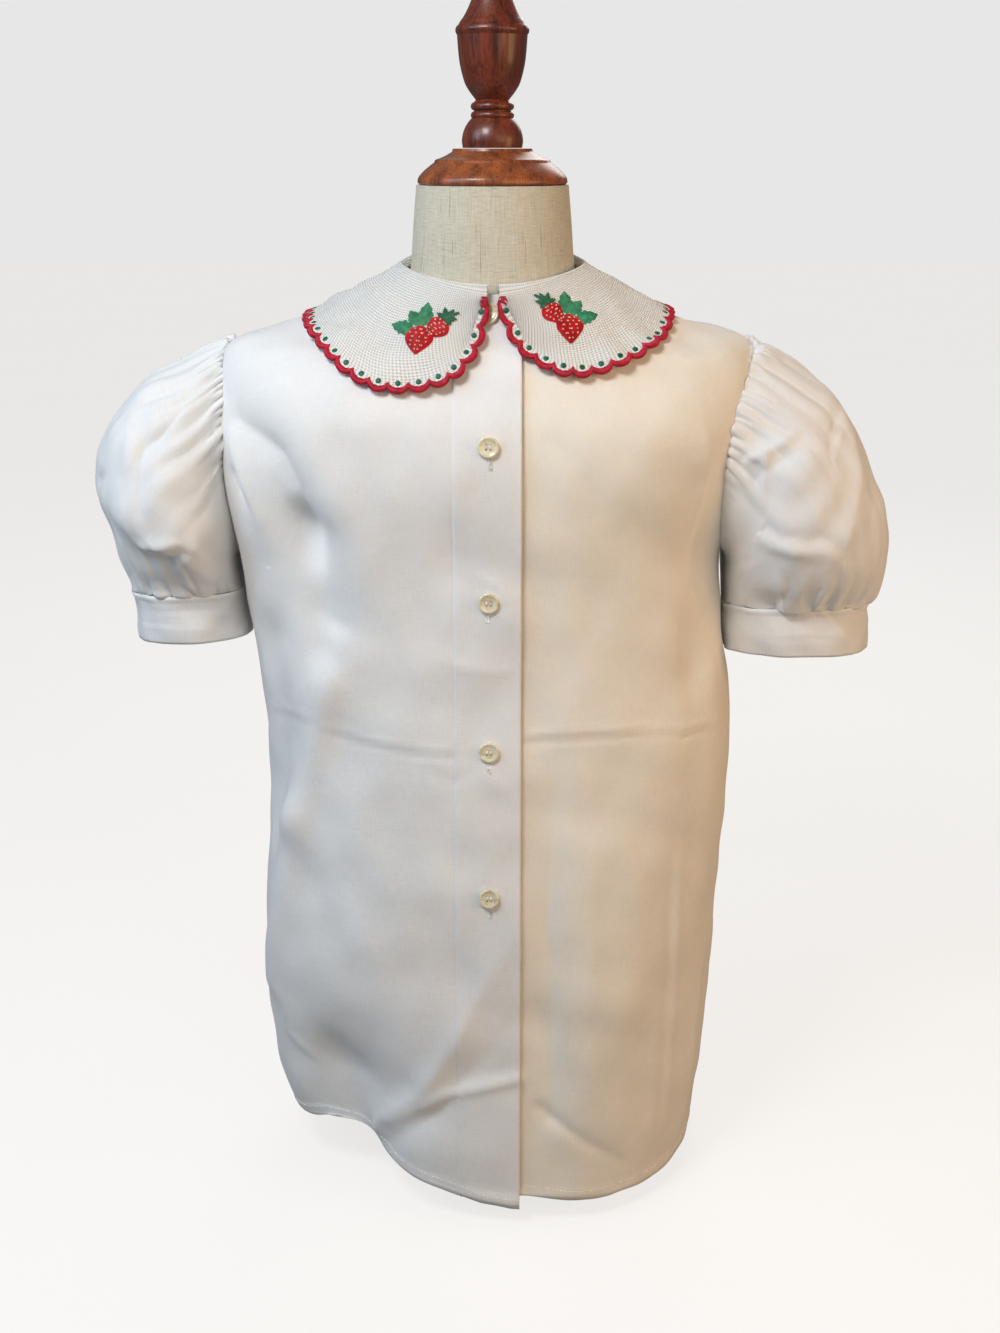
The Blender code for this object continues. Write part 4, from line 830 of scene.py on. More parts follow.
def collar_grid():
    """Middle points of the collar, rows from inside the neck to the scalloped edge."""
    count = SCALLOPS * COLUMNS_PER_SCALLOP + 1
    angle, fall = collar_outline(count)
    outline = collar_surface(angle, fall, np.ones(count))
    _, upward = hull_walk(angle, fall)
    out = unit(np.cross(np.gradient(outline, axis=0), upward))
    bump = np.abs(np.sin(math.pi * np.arange(count) / COLUMNS_PER_SCALLOP)) ** 0.62
    edge = outline + out * (SCALLOP_DEPTH * (bump - 0.5))[:, None]
    rim = outline - out * COLLAR_RIM
    for end, step in ((0, 1), (count - 1, -1)):
        neck_corner = collar_surface(angle[end:end + 1], np.array([0.003]), np.zeros(1))[0]
        for near in range(COLUMNS_PER_SCALLOP):
            place = end + step * near
            share = ease(near / COLUMNS_PER_SCALLOP)
            rim[place] = rim[place] * share + (outline[place] + neck_corner) / 2 * (1 - share)
    even = np.linspace(angle[0], angle[-1], count)
    neck_angle = 0.25 * angle + 0.75 * even
    none = np.zeros(count)
    seam, _ = hull_walk(neck_angle, none)
    first = collar_surface(neck_angle, none + 0.003, none)
    foot = seam + [0, 0, SEAM_STEP + 0.0003] + unit(-seam * [1, 1, 0]) * 0.0002
    top = (foot + first) / 2
    top[:, 2] = seam[:, 2] + COLLAR_STAND
    rim_angle, rim_fall = hull_place(rim, angle, fall)
    keys = [foot, top, first]
    for share in (0.28, 0.56, 0.80):
        between = neck_angle + (rim_angle - neck_angle) * share
        keys.append(collar_surface(between, 0.003 + (rim_fall - 0.003) * share, none + share * 0.93))
    keys = np.stack(keys + [rim, edge])
    places = np.concatenate([
        np.linspace(0, 2, 9), np.linspace(2, 6, 23)[1:], np.linspace(6, 7, 8)[1:],
    ])
    points = np.stack([smooth_column(keys, place) for place in places])
    for row, place in enumerate(places):
        if place > 6:
            points[row] = rim + (edge - rim) * (place - 6)
    return points


def finish_collar(points):
    """Adds the collar's small dents and gives its normals."""
    normals = upward_normals(points)
    rows, count = points.shape[:2]
    row = np.broadcast_to(np.arange(rows)[:, None] / (rows - 1), (rows, count))
    inside = ease((row - 0.25) / 0.2) * (1 - 0.55 * ease((row - 0.85) / 0.15))
    dents = crumple(points, 91, 0.0012, 0.012, 0.040)
    crush = np.zeros((rows, count))
    for x, y, z, size, height in COLLAR_DENTS:
        away = np.linalg.norm(points - [x, y, z], axis=-1)
        crush += height * np.exp(-((away / size) ** 2))
    points = points + normals * (dents * inside + crush * ease((row - 0.2) / 0.2))[..., None]
    return points, upward_normals(points)


COLLAR_DENTS = (
    (0.0790, -0.0420, 0.4980, 0.0050, -0.0014), (0.0865, -0.0380, 0.4990, 0.0045, 0.0016),
    (0.0930, -0.0330, 0.5000, 0.0045, -0.0012), (-0.0800, -0.0380, 0.5020, 0.0070, 0.0012),
    (0.0600, -0.0560, 0.4960, 0.0090, 0.0012), (0.0300, 0.0560, 0.5100, 0.0080, 0.0012),
    (-0.0450, 0.0600, 0.5060, 0.0090, -0.0012),
)


class Cloth:
    """Places on a finished grid of cloth, given by a row and a column that need not be whole."""

    def __init__(self, points, normals):
        self.points, self.normals = points, normals

    def blend(self, values, row, column):
        row = np.clip(row, 0, values.shape[0] - 1.001)
        column = np.clip(column, 0, values.shape[1] - 1.001)
        r, c = row.astype(int), column.astype(int)
        fr, fc = (row - r)[..., None], (column - c)[..., None]
        low = values[r, c] * (1 - fc) + values[r, c + 1] * fc
        high = values[r + 1, c] * (1 - fc) + values[r + 1, c + 1] * fc
        return low * (1 - fr) + high * fr

    def at(self, row, column, height=0.0):
        row, column = np.asarray(row, float), np.asarray(column, float)
        place = self.blend(self.points, row, column)
        out = unit(self.blend(self.normals, row, column))
        return place + out * np.asarray(height, float)[..., None]

    def out(self, row, column):
        return unit(self.blend(self.normals, np.asarray(row, float), np.asarray(column, float)))

    def edge_step(self):
        """Distance between the last two rows, for each column."""
        return np.linalg.norm(self.points[-1] - self.points[-2], axis=-1)

    def nearest(self, point):
        away = np.linalg.norm(self.points - np.asarray(point), axis=-1)
        return np.unravel_index(away.argmin(), away.shape)

    def around(self, row, column, x, y, right, height=0.0):
        """Places at x to the right and y upwards, in metres, of a place on the cloth."""
        centre = self.at([row], [column])[0]
        out = self.out([row], [column])[0]
        right = unit(right - out * (right @ out))
        up = np.cross(out, right)
        x, y = np.broadcast_arrays(np.asarray(x, float), np.asarray(y, float))
        r, c = np.full(x.shape, float(row)), np.full(x.shape, float(column))
        for _ in range(7):
            here = self.at(r, c)
            by_row = (self.at(r + 0.2, c) - self.at(r - 0.2, c)) / 0.4
            by_column = (self.at(r, c + 0.2) - self.at(r, c - 0.2)) / 0.4
            miss_x, miss_y = x - (here - centre) @ right, y - (here - centre) @ up
            a, b = by_row @ right, by_column @ right
            e, f = by_row @ up, by_column @ up
            size = a * f - b * e
            size = np.where(np.abs(size) < 1e-9, 1e-9, size)
            r = r + np.clip((miss_x * f - miss_y * b) / size, -3, 3)
            c = c + np.clip((miss_y * a - miss_x * e) / size, -9, 9)
        return self.at(r, c, np.broadcast_to(height, x.shape)), self.out(r, c)


# Meshes

def grid_faces(rows, columns):
    """Quads of a grid of points stored row after row, closed round."""
    return [
        (low + column, low + (column + 1) % columns, high + (column + 1) % columns, high + column)
        for low, high in ((row * columns, (row + 1) * columns) for row in range(rows - 1))
        for column in range(columns)
    ]


def add_object(name, mesh, material):
    mesh.materials.clear()
    mesh.materials.append(material)
    thing = bpy.data.objects.new(name, mesh)
    bpy.context.scene.collection.objects.link(thing)
    return thing


def put_uv(mesh, places):
    """A UV map in metres."""
    layer = mesh.uv_layers.new(name="cloth")
    layer.data.foreach_set("uv", np.asarray(places, np.float32).reshape(-1))


def along_grid(points):
    """Mean distances across and up a grid, for its UV map."""
    u = np.linalg.norm(np.roll(points, -1, axis=1) - points, axis=-1).mean(0)
    v = np.linalg.norm(np.diff(points, axis=0), axis=-1).mean(1)
    return np.concatenate([[0], np.cumsum(u)]), np.concatenate([[0], np.cumsum(v)])


def corners_of(*corners):
    """Faces' corners, or their places on the cloth, from one array for each corner."""
    return np.stack([np.stack(np.broadcast_arrays(*corner), -1) for corner in corners], 1)


def cloth_object(name, points, normals, thickness, material, closed=False):
    """A closed wall on a grid of middle points, with a UV map in metres."""
    rows, columns = points.shape[:2]
    half = normals * thickness / 2
    both = np.concatenate([(points + half).reshape(-1, 3), (points - half).reshape(-1, 3)])
    count = rows * columns
    wide = columns if closed else columns - 1
    row, column = np.meshgrid(np.arange(rows - 1), np.arange(wide), indexing="ij")
    row, column = row.ravel(), column.ravel()
    low, high, beside = row * columns, (row + 1) * columns, (column + 1) % columns
    quads = np.stack([low + column, low + beside, high + beside, high + column], -1)
    u, v = along_grid(points)
    place = corners_of(
        (u[column], v[row]), (u[column + 1], v[row]), (u[column + 1], v[row + 1]), (u[column], v[row + 1]))
    faces, places = [quads, quads[:, ::-1] + count], [place, place[:, ::-1]]

    def add_rim(line, after, here, there, flip):
        rim = np.stack([after, line, line + count, after + count], -1)
        spot = corners_of(there, here, here, there)
        faces.append(rim[:, ::-1] if flip else rim)
        places.append(spot[:, ::-1] if flip else spot)

    across, up = np.arange(wide), np.arange(rows - 1) * columns
    for last, flip in ((0, False), (rows - 1, True)):
        line, after = last * columns + across, last * columns + (across + 1) % columns
        add_rim(line, after, (u[:wide], v[last]), (u[1:wide + 1], v[last]), flip)
    if not closed:
        for last, flip in ((0, True), (columns - 1, False)):
            add_rim(up + last, up + last + columns, (u[last], v[:-1]), (u[last], v[1:]), flip)
    faces = np.concatenate(faces)
    a, b, c, d = (both[faces[:, k]] for k in range(4))
    volume = (a * np.cross(b, c)).sum() + (a * np.cross(c, d)).sum()
    mesh = bpy.data.meshes.new(name)
    mesh.from_pydata(both.tolist(), [], faces.tolist())
    put_uv(mesh, np.concatenate(places))
    if volume < 0:
        mesh.flip_normals()
    mesh.shade_smooth()
    return add_object(name, mesh, material)


def stacked_rings(name, rings, material, uv=False):
    """A closed piece of rings, one above the other, with flat ends."""
    rows, columns = rings.shape[:2]
    points = rings.reshape(-1, 3).tolist()
    points += [[0, 0, rings[0, :, 2].mean()], [0, 0, rings[-1, :, 2].mean()]]
    faces = grid_faces(rows, columns)
    foot, top, last = len(points) - 2, len(points) - 1, (rows - 1) * columns
    for column in range(columns):
        beside = (column + 1) % columns
        faces += [(foot, beside, column), (top, last + column, last + beside)]
    mesh = bpy.data.meshes.new(name)
    mesh.from_pydata(points, [], faces)
    if uv:
        u, v = along_grid(rings)
        places = []
        for low, high in zip(v, v[1:]):
            for here, there in zip(u, u[1:]):
                places += [(here, low), (there, low), (there, high), (here, high)]
        for here, there in zip(u, u[1:]):
            places += [(0, 0), (there, v[0]), (here, v[0]), (0, v[-1]), (here, v[-1]), (there, v[-1])]
        put_uv(mesh, places)
    mesh.shade_smooth()
    mesh.set_sharp_from_angle(angle=math.radians(50))
    return add_object(name, mesh, material)


def turned_piece(name, profile, segments, material):
    """A closed piece turned about the Z axis from (radius, height) pairs, bottom to top."""
    turn = 2 * math.pi * np.arange(segments) / segments
    way = np.stack([np.cos(turn), np.sin(turn), 0 * turn], -1)
    rings = np.array([radius * way + [0, 0, height] for radius, height in profile])
    return stacked_rings(name, rings, material)


def round_profile(pairs, steps=6):
    """A smooth curve through turned (radius, height) pairs."""
    values = np.array(pairs)
    places = np.linspace(0, len(values) - 1, (len(values) - 1) * steps + 1)
    return [tuple(smooth_column(values, place)) for place in places]


def arc(centre_radius, centre_height, size, start_deg, end_deg, count):
    turns = np.radians(np.linspace(start_deg, end_deg, count))
    return [(centre_radius + size * math.cos(t), centre_height + size * math.sin(t)) for t in turns]


# Geometry Nodes for what repeats

def new_tree(name, numbers):
    """A modifier's node tree with named numbers, and its inputs by name."""
    tree = bpy.data.node_groups.new(name, "GeometryNodeTree")
    tree.interface.new_socket("Geometry", in_out="INPUT", socket_type="NodeSocketGeometry")
    for number_name, value in numbers.items():
        kind = "NodeSocketInt" if isinstance(value, int) else "NodeSocketFloat"
        socket = tree.interface.new_socket(number_name, in_out="INPUT", socket_type=kind)
        socket.default_value = value
    tree.interface.new_socket("Geometry", in_out="OUTPUT", socket_type="NodeSocketGeometry")
    return tree, tree.nodes.new("NodeGroupInput").outputs


def end_tree(tree, geometry, material):
    """Makes what the tree placed real and gives it its material."""
    real = node(tree, "GeometryNodeRealizeInstances", Geometry=geometry)
    done = node(tree, "GeometryNodeSetMaterial", Geometry=real.outputs[0], Material=material)
    node(tree, "NodeGroupOutput", Geometry=done.outputs[0])
    return tree


def placed(tree, points, ball, facing, width, height):
    """Copies of a ball on points, flattened and turned to face a way."""
    size = node(tree, "ShaderNodeCombineXYZ", X=width, Y=width, Z=height)
    aim = node(tree, "FunctionNodeAlignRotationToVector", {"axis": "Z"}, Vector=facing)
    return node(
        tree, "GeometryNodeInstanceOnPoints",
        Points=points, Instance=ball, Rotation=aim.outputs[0], Scale=size.outputs[0],
    ).outputs[0]


def stitch_tree(material):
    """Short stitches along a line."""
    tree, given = new_tree("Stitches", {"Pitch": 0.0026, "Length": 0.0019, "Thread Radius": 0.00022})
    line = node(tree, "GeometryNodeMeshToCurve", Mesh=given["Geometry"])
    spread = node(
        tree, "GeometryNodeResampleCurve", {"mode": "LENGTH"}, Curve=line.outputs[0], Length=given["Pitch"])
    ball = node(tree, "GeometryNodeMeshUVSphere", Segments=6, Rings=4, Radius=1.0)
    half = maths(tree, "MULTIPLY", given["Length"], 0.5)
    tangent = node(tree, "GeometryNodeInputTangent").outputs[0]
    stitches = placed(tree, spread.outputs[0], ball.outputs[0], tangent, given["Thread Radius"], half)
    return end_tree(tree, stitches, material)


def thread_tree(material):
    """Round threads along lines."""
    tree, given = new_tree("Threads", {"Thread Radius": 0.0002, "Thread Sides": 5})
    line = node(tree, "GeometryNodeMeshToCurve", Mesh=given["Geometry"])
    ring = node(
        tree, "GeometryNodeCurvePrimitiveCircle",
        Radius=given["Thread Radius"], Resolution=given["Thread Sides"])
    tube = node(
        tree, "GeometryNodeCurveToMesh",
        Curve=line.outputs[0], Profile_Curve=ring.outputs[0], Fill_Caps=True)
    smooth = node(tree, "GeometryNodeSetShadeSmooth", Geometry=tube.outputs[0])
    return end_tree(tree, smooth.outputs[0], material)


def dot_tree(material):
    """Low round dots of thread that lie on the cloth."""
    tree, given = new_tree("Dots", {"Radius": 0.0015, "Height": 0.0004})
    ball = node(tree, "GeometryNodeMeshUVSphere", Segments=14, Rings=7, Radius=1.0)
    smooth = node(tree, "GeometryNodeSetShadeSmooth", Geometry=ball.outputs[0])
    facing = node(tree, "GeometryNodeInputNamedAttribute", {"data_type": "FLOAT_VECTOR"}, Name="facing")
    dots = placed(
        tree, given["Geometry"], smooth.outputs[0], facing.outputs["Attribute"],
        given["Radius"], given["Height"])
    return end_tree(tree, dots, material)


def plain_mesh(thing):
    """An object's mesh with its modifiers applied, in place of the object."""
    depsgraph = bpy.context.evaluated_depsgraph_get()
    mesh = bpy.data.meshes.new_from_object(thing.evaluated_get(depsgraph), depsgraph=depsgraph)
    bpy.data.objects.remove(thing)
    return mesh


def grow(name, guide, tree, material, **numbers):
    """Runs a tree on a guide mesh and keeps the result as a plain object."""
    carrier = bpy.data.objects.new(name + "_guide", guide)
    bpy.context.scene.collection.objects.link(carrier)
    modifier = carrier.modifiers.new("grow", "NODES")
    modifier.node_group = tree
    for item in tree.interface.items_tree:
        key = item.name.lower().replace(" ", "_")
        if item.in_out == "INPUT" and key in numbers:
            modifier[item.identifier] = numbers[key]
    return add_object(name, plain_mesh(carrier), material)


def line_guide(lines):
    """A guide mesh of separate lines of points."""
    points, edges = [], []
    for line in lines:
        start = len(points)
        points.extend(map(tuple, line))
        edges += [(start + k, start + k + 1) for k in range(len(line) - 1)]
    mesh = bpy.data.meshes.new("guide")
    mesh.from_pydata(points, edges, [])
    return mesh


def point_guide(points, facing):
    mesh = bpy.data.meshes.new("guide")
    mesh.from_pydata([tuple(point) for point in points], [], [])
    layer = mesh.attributes.new("facing", "FLOAT_VECTOR", "POINT")
    layer.data.foreach_set("vector", np.asarray(facing, np.float32).reshape(-1))
    return mesh


# Finishes

def node(tree, kind, settings=None, **inputs):
    """Adds a shader node. An input's value may be a socket."""
    made = tree.nodes.new(kind)
    for key, value in (settings or {}).items():
        setattr(made, key, value)
    for name, value in inputs.items():
        key = name[1:] if name.startswith("_") else name.replace("_", " ")
        socket = made.inputs[int(key)] if key.isdigit() else made.inputs[key]
        if isinstance(value, bpy.types.NodeSocket):
            tree.links.new(value, socket)
        else:
            socket.default_value = value
    return made


def maths(tree, operation, first, second=0.0, third=0.0):
    return node(tree, "ShaderNodeMath", {"operation": operation}, _0=first, _1=second, _2=third).outputs[0]


def noise(tree, source, scale, detail=2.0, rough=0.5):
    return node(
        tree, "ShaderNodeTexNoise", None, Vector=source, Scale=scale, Detail=detail, Roughness=rough
    ).outputs["Fac"]


def ramp(tree, source, stops):
    """A colour ramp. Stops are (place, colour) pairs."""
    made = node(tree, "ShaderNodeValToRGB", None, Fac=source)
    elements = made.color_ramp.elements
    while len(elements) < len(stops):
        elements.new(0.5)
    for element, (place, colour) in zip(elements, stops):
        element.position = place
        element.color = (*colour, 1)
    return made.outputs["Color"]


def new_finish(name, roughness, **values):
    """A material, its tree, shader and the places and UV map of what it covers."""
    material = bpy.data.materials.new(name)
    material.use_nodes = True
    tree = material.node_tree
    shader = tree.nodes["Principled BSDF"]
    shader.inputs["Roughness"].default_value = roughness
    for key, value in values.items():
        shader.inputs[key.replace("_", " ")].default_value = value
    place = node(tree, "ShaderNodeTexCoord").outputs
    return material, tree, shader, place["Object"], place["UV"]


def set_colour(tree, shader, colour):
    tree.links.new(colour, shader.inputs["Base Color"])


def set_bump(tree, shader, height, strength, distance, below=None):
    bump = node(tree, "ShaderNodeBump", None, Height=height, Strength=strength, Distance=distance)
    if below:
        tree.links.new(below, bump.inputs["Normal"])
    tree.links.new(bump.outputs["Normal"], shader.inputs["Normal"])
    return bump.outputs["Normal"]


def grain(tree, source, scale, detail=3.0, rough=0.6):
    """Noise stretched by a scale for each axis."""
    stretched = node(tree, "ShaderNodeMapping", None, Vector=source, Scale=scale).outputs[0]
    return noise(tree, stretched, 1.0, detail, rough)


def weighted(tree, first, first_share, second, second_share):
    """The sum of two values, each times its share."""
    first = maths(tree, "MULTIPLY", first, first_share)
    return maths(tree, "ADD", first, maths(tree, "MULTIPLY", second, second_share))


def darkened(tree, base, dark, share=1.0):
    """A colour multiplied by another."""
    settings = {"data_type": "RGBA", "blend_type": "MULTIPLY"}
    return node(tree, "ShaderNodeMix", settings, _0=share, _6=base, _7=dark).outputs[2]


def tint(colour, share):
    return tuple(part * share for part in colour)


def cotton_finish(name, colour):
    """Plain woven cotton: uneven threads both ways, soft crumples and a slight sheen."""
    material, tree, shader, place, uv = new_finish(
        name, 0.82, Sheen_Weight=0.18, Sheen_Roughness=0.45, Specular_IOR_Level=0.28,
        Subsurface_Weight=0.10, Subsurface_Radius=(0.004, 0.004, 0.004), Subsurface_Scale=0.6,
    )
    weft, warp = grain(tree, uv, (150.0, 2200.0, 1.0)), grain(tree, uv, (2200.0, 110.0, 1.0))
    threads = maths(tree, "ADD", weft, warp)
    shade = weighted(tree, threads, 0.30, noise(tree, place, 16.0, 3.0, 0.55), 0.40)
    set_colour(tree, shader, ramp(
        tree, shade, ((0.34, tint(colour, 0.90)), (0.50, colour), (0.66, tint(colour, 1.05)))))
    below = set_bump(tree, shader, noise(tree, place, 55.0, 4.0, 0.55), 0.55, 0.0011)
    set_bump(tree, shader, threads, 0.45, 0.00022, below)
    return material


def pique_finish(name, colour):
    """Bird's-eye pique: a lattice of small lozenges with a pit in each, the pits coloured darker as painted
    shade.
    """
    material, tree, shader, place, uv = new_finish(
        name, 0.85, Sheen_Weight=0.2, Sheen_Roughness=0.5, Specular_IOR_Level=0.25)
    parts = node(tree, "ShaderNodeSeparateXYZ", None, Vector=uv).outputs
    across = maths(tree, "MULTIPLY", parts["X"], 2 * math.pi / PIQUE_PITCH)
    along = maths(tree, "MULTIPLY", parts["Y"], 2 * math.pi / PIQUE_PITCH * 1.35)
    one, other = (
        maths(tree, "SINE", maths(tree, operation, across, along)) for operation in ("ADD", "SUBTRACT"))
    height = maths(tree, "SMOOTH_MIN", maths(tree, "MULTIPLY", one, other), 0.25, 0.3)
    uneven = noise(tree, place, 900.0, 2.0, 0.6)
    total = maths(tree, "ADD", height, maths(tree, "MULTIPLY", uneven, 0.35))
    # Colour follows the lattice's height: the pits are darker (painted shade in the recesses), with a little
    # random unevenness from the noise
    shade = maths(tree, "MULTIPLY_ADD", total, 0.30, 0.45)
    set_colour(tree, shader, ramp(
        tree, shade, ((0.15, tint(colour, 0.60)), (0.42, tint(colour, 0.90)), (0.60, colour))))
    set_bump(tree, shader, total, 0.9, 0.00045)
    return material


def thread_finish(name, colour, roughness=0.42):
    """Mercerised embroidery thread."""
    material, tree, shader, place, _ = new_finish(
        name, roughness, Sheen_Weight=0.10, Sheen_Roughness=0.35, Specular_IOR_Level=0.35)
    patch = noise(tree, place, 420.0, 3.0, 0.6)
    set_colour(tree, shader, ramp(
        tree, patch, ((0.32, tint(colour, 0.62)), (0.52, colour), (0.70, tint(colour, 1.35)))))
    set_bump(tree, shader, noise(tree, place, 2600.0, 2.0), 0.35, 0.00015)
    return material


def linen_finish(name):
    """Unbleached linen with dark and pale slubs, mostly upright."""
    material, tree, shader, _, uv = new_finish(name, 0.88, Sheen_Weight=0.12, Specular_IOR_Level=0.2)
    warp = grain(tree, uv, (1500.0, 70.0, 1.0), 4.0, 0.65)
    weft = grain(tree, uv, (80.0, 1500.0, 1.0), 4.0, 0.65)
    slub = grain(tree, uv, (620.0, 34.0, 1.0), 3.0, 0.7)
    cross = grain(tree, uv, (40.0, 700.0, 1.0), 3.0, 0.7)
    weave = weighted(tree, warp, 0.55, weft, 0.45)
    base = ramp(tree, weave, (
        (0.30, (0.42, 0.38, 0.28)), (0.47, (0.60, 0.56, 0.45)), (0.60, (0.70, 0.66, 0.55)),
        (0.75, (0.78, 0.74, 0.63)),
    ))
    base = darkened(tree, base, ramp(tree, slub, ((0.30, (0.52, 0.48, 0.42)), (0.40, WHITE), (0.72, WHITE))))
    base = darkened(tree, base, ramp(tree, cross, ((0.29, (0.70, 0.67, 0.60)), (0.38, WHITE), (0.72, WHITE))))
    set_colour(tree, shader, base)
    set_bump(tree, shader, maths(tree, "ADD", weave, maths(tree, "MULTIPLY", slub, 0.5)), 0.6, 0.0006)
    return material


def wood_finish(name, low, high):
    """Varnished red-brown hardwood with upright grain and dark pores."""
    material, tree, shader, place, _ = new_finish(
        name, 0.42, Coat_Weight=0.45, Coat_Roughness=0.22, Specular_IOR_Level=0.4)
    long_grain = grain(tree, place, (120.0, 120.0, 9.0), 5.0, 0.6)
    fibres = grain(tree, place, (900.0, 900.0, 22.0), 3.0, 0.65)
    pores = grain(tree, place, (1500.0, 1500.0, 70.0), 2.0, 0.5)
    middle = tuple((a + b) / 2 for a, b in zip(low, high))
    mixed = weighted(tree, long_grain, 0.6, fibres, 0.4)
    base = ramp(tree, mixed, ((0.38, low), (0.50, middle), (0.62, high)))
    dark = ramp(tree, pores, ((0.33, (0.25, 0.2, 0.2)), (0.42, WHITE), (0.7, WHITE)))
    set_colour(tree, shader, darkened(tree, base, dark, 0.8))
    set_bump(tree, shader, fibres, 0.25, 0.0003)
    return material


def pearl_finish(name):
    """Cream shell-like plastic with clouded bands."""
    material, tree, shader, place, _ = new_finish(
        name, 0.24, Coat_Weight=0.7, Coat_Roughness=0.08, Subsurface_Weight=0.2,
        Subsurface_Radius=(0.003, 0.0025, 0.0015), Subsurface_Scale=0.5,
    )
    cloud = grain(tree, place, (260.0, 260.0, 420.0))
    set_colour(tree, shader, ramp(tree, cloud, (
        (0.30, (0.56, 0.50, 0.33)), (0.45, (0.78, 0.71, 0.50)), (0.60, (0.86, 0.80, 0.62)),
        (0.74, (0.80, 0.82, 0.70)),
    )))
    set_bump(tree, shader, cloud, 0.15, 0.0002)
    return material


# Pieces

def satin_thread(cloth, row, column, width_scale):
    """One thread over an edge: along the places given, round the edge and under it."""
    height = SATIN_ARCH * SATIN_HEIGHT * width_scale + COLLAR_SHELL / 2
    top = cloth.at(row, column, height)
    under = cloth.at(row[-1:], column[-1:], [-COLLAR_SHELL / 2])
    return np.concatenate([top[:-1], [1.12 * top[-1] - 0.12 * top[-2]], under])


def satin_edge(cloth, material, tree):
    """Thread laid over the scalloped edge, from the inner side of the border round the edge."""
    rows, count = cloth.points.shape[:2]
    run = distances(cloth.points[-1])
    places = np.interp(np.arange(0, run[-1], SATIN_PITCH), run, np.arange(count))
    step = cloth.edge_step()
    chance = np.random.default_rng(3)
    lines = []
    for place in places:
        size = np.interp(place, np.arange(count), step)
        inner = rows - 1 - SATIN_WIDTH / size * chance.uniform(0.93, 1.07)
        lines.append(satin_thread(cloth, np.linspace(inner, rows - 1, 5), np.full(5, place), 1.0))
    for last, inside in ((0, 1), (count - 1, -1)):
        run = distances(cloth.points[FIRST_COLLAR_ROW:, last])
        for row in np.interp(np.arange(0, run[-1], SATIN_PITCH), run, np.arange(FIRST_COLLAR_ROW, rows)):
            size = np.linalg.norm(cloth.at([row], [last]) - cloth.at([row], [last + inside]))
            width = min(SATIN_WIDTH / size * chance.uniform(0.93, 1.07), 0.4 * count)
            column = last + inside * np.linspace(width, 0, 5)
            lines.append(satin_thread(cloth, np.full(5, row), column, 1.3))
    return grow("collar_satin_edge", line_guide(lines), tree, material, thread_radius=0.00026, thread_sides=5)


def band_edge(cloth, material):
    """The padded red border under the satin threads."""
    rows, count = cloth.points.shape[:2]
    half = COLLAR_SHELL / 2
    step, column = cloth.edge_step(), np.arange(count)
    lines = [
        cloth.at(rows - 1 - SATIN_WIDTH * (1 - share) / step, column, np.full(count, height))
        for share, height in (
            (0.0, half - 0.0001), (0.15, half + 0.0003), (0.5, half + 0.00042), (0.85, half + 0.0003),
            (1.0, 0.0002), (1.0, -half - 0.0002), (0.5, -half - 0.0003), (0.0, -half + 0.0001))
    ]
    lines[4] = lines[4] + (lines[4] - lines[3]) * 0.05
    loops = len(lines)
    faces = [
        (a * count + c, a * count + c + 1, b * count + c + 1, b * count + c)
        for a, b in ((a, (a + 1) % loops) for a in range(loops)) for c in range(count - 1)
    ]
    faces.append(tuple(a * count for a in range(loops)))
    faces.append(tuple(a * count + count - 1 for a in reversed(range(loops))))
    mesh = bpy.data.meshes.new("collar_border")
    mesh.from_pydata(np.concatenate(lines).tolist(), [], faces)
    fix_normals(mesh)
    mesh.shade_smooth()
    return add_object("collar_border", mesh, material)


def fix_normals(mesh):
    work = bmesh.new()
    work.from_mesh(mesh)
    bmesh.ops.recalc_face_normals(work, faces=work.faces)
    work.to_mesh(mesh)
    work.free()


def collar_dots(cloth, material, tree):
    rows = cloth.points.shape[0]
    step = cloth.edge_step()
    column = (np.arange(SCALLOPS) + 0.5) * COLUMNS_PER_SCALLOP
    inset = np.full(SCALLOPS, DOT_INSET)
    inset[[0, -1]] *= 0.8
    row = rows - 1 - inset / step[column.astype(int)]
    guide = point_guide(cloth.at(row, column, np.full(SCALLOPS, COLLAR_SHELL / 2)), cloth.out(row, column))
    return grow("collar_dots", guide, tree, material, radius=DOT_RADIUS, height=0.00045)


def turn_by(x, y, degrees):
    cosine, sine = math.cos(math.radians(degrees)), math.sin(math.radians(degrees))
    return x * cosine - y * sine, x * sine + y * cosine


def leaf_lines(spec, pitch=0.00040):
    """Satin threads of a pointed leaf, from its middle vein out to both edges."""
    at = dict(zip(LEAF_COLUMNS, spec))
    lines = []
    for share in np.arange(0.02, 0.97, pitch / at["length"]):
        reach = min(share + 0.13, 1.0)
        wide = at["half_width"] * math.sin(math.pi * reach ** 0.85) ** 0.8
        wide *= 1 + 0.12 * math.sin(reach * 26)
        for side in (1, -1):
            line = []
            for part, height in ((0, 0.5), (0.35, 1.0), (0.7, 0.85), (1.0, 0.1)):
                along = (share + (reach - share) * part) * at["length"]
                x, y = turn_by(along, side * wide * part, at["turn"])
                line.append((at["x"] + x, at["y"] + y, height))
            lines.append(line)
    return lines


def berry_place(at, share, part, extra):
    """A place on a berry: share runs down its length and part from side to side."""
    wide = at["half_width"] * (math.sin(math.pi * share ** 1.35) ** 0.66)
    full = math.sin(math.pi * min(max(share, 0.05), 0.95)) ** 0.5
    x, y = turn_by(wide * part, (share - 0.5) * at["length"], at["tilt"])
    return at["x"] + x, at["y"] + y, 2.3 * full * math.sqrt(max(1 - part**2, 0.0)) + extra


def berry_lines(spec, pitch=0.00042):
    """Satin threads across a berry, full at its middle and pointed at its lower end."""
    at = dict(zip(BERRY_COLUMNS, spec))
    return [
        [berry_place(at, share, part, 0.1) for part in (-1.0, -0.75, -0.35, 0.0, 0.35, 0.75, 1.0)]
        for share in np.arange(0.03, 0.99, pitch / at["length"])
    ]


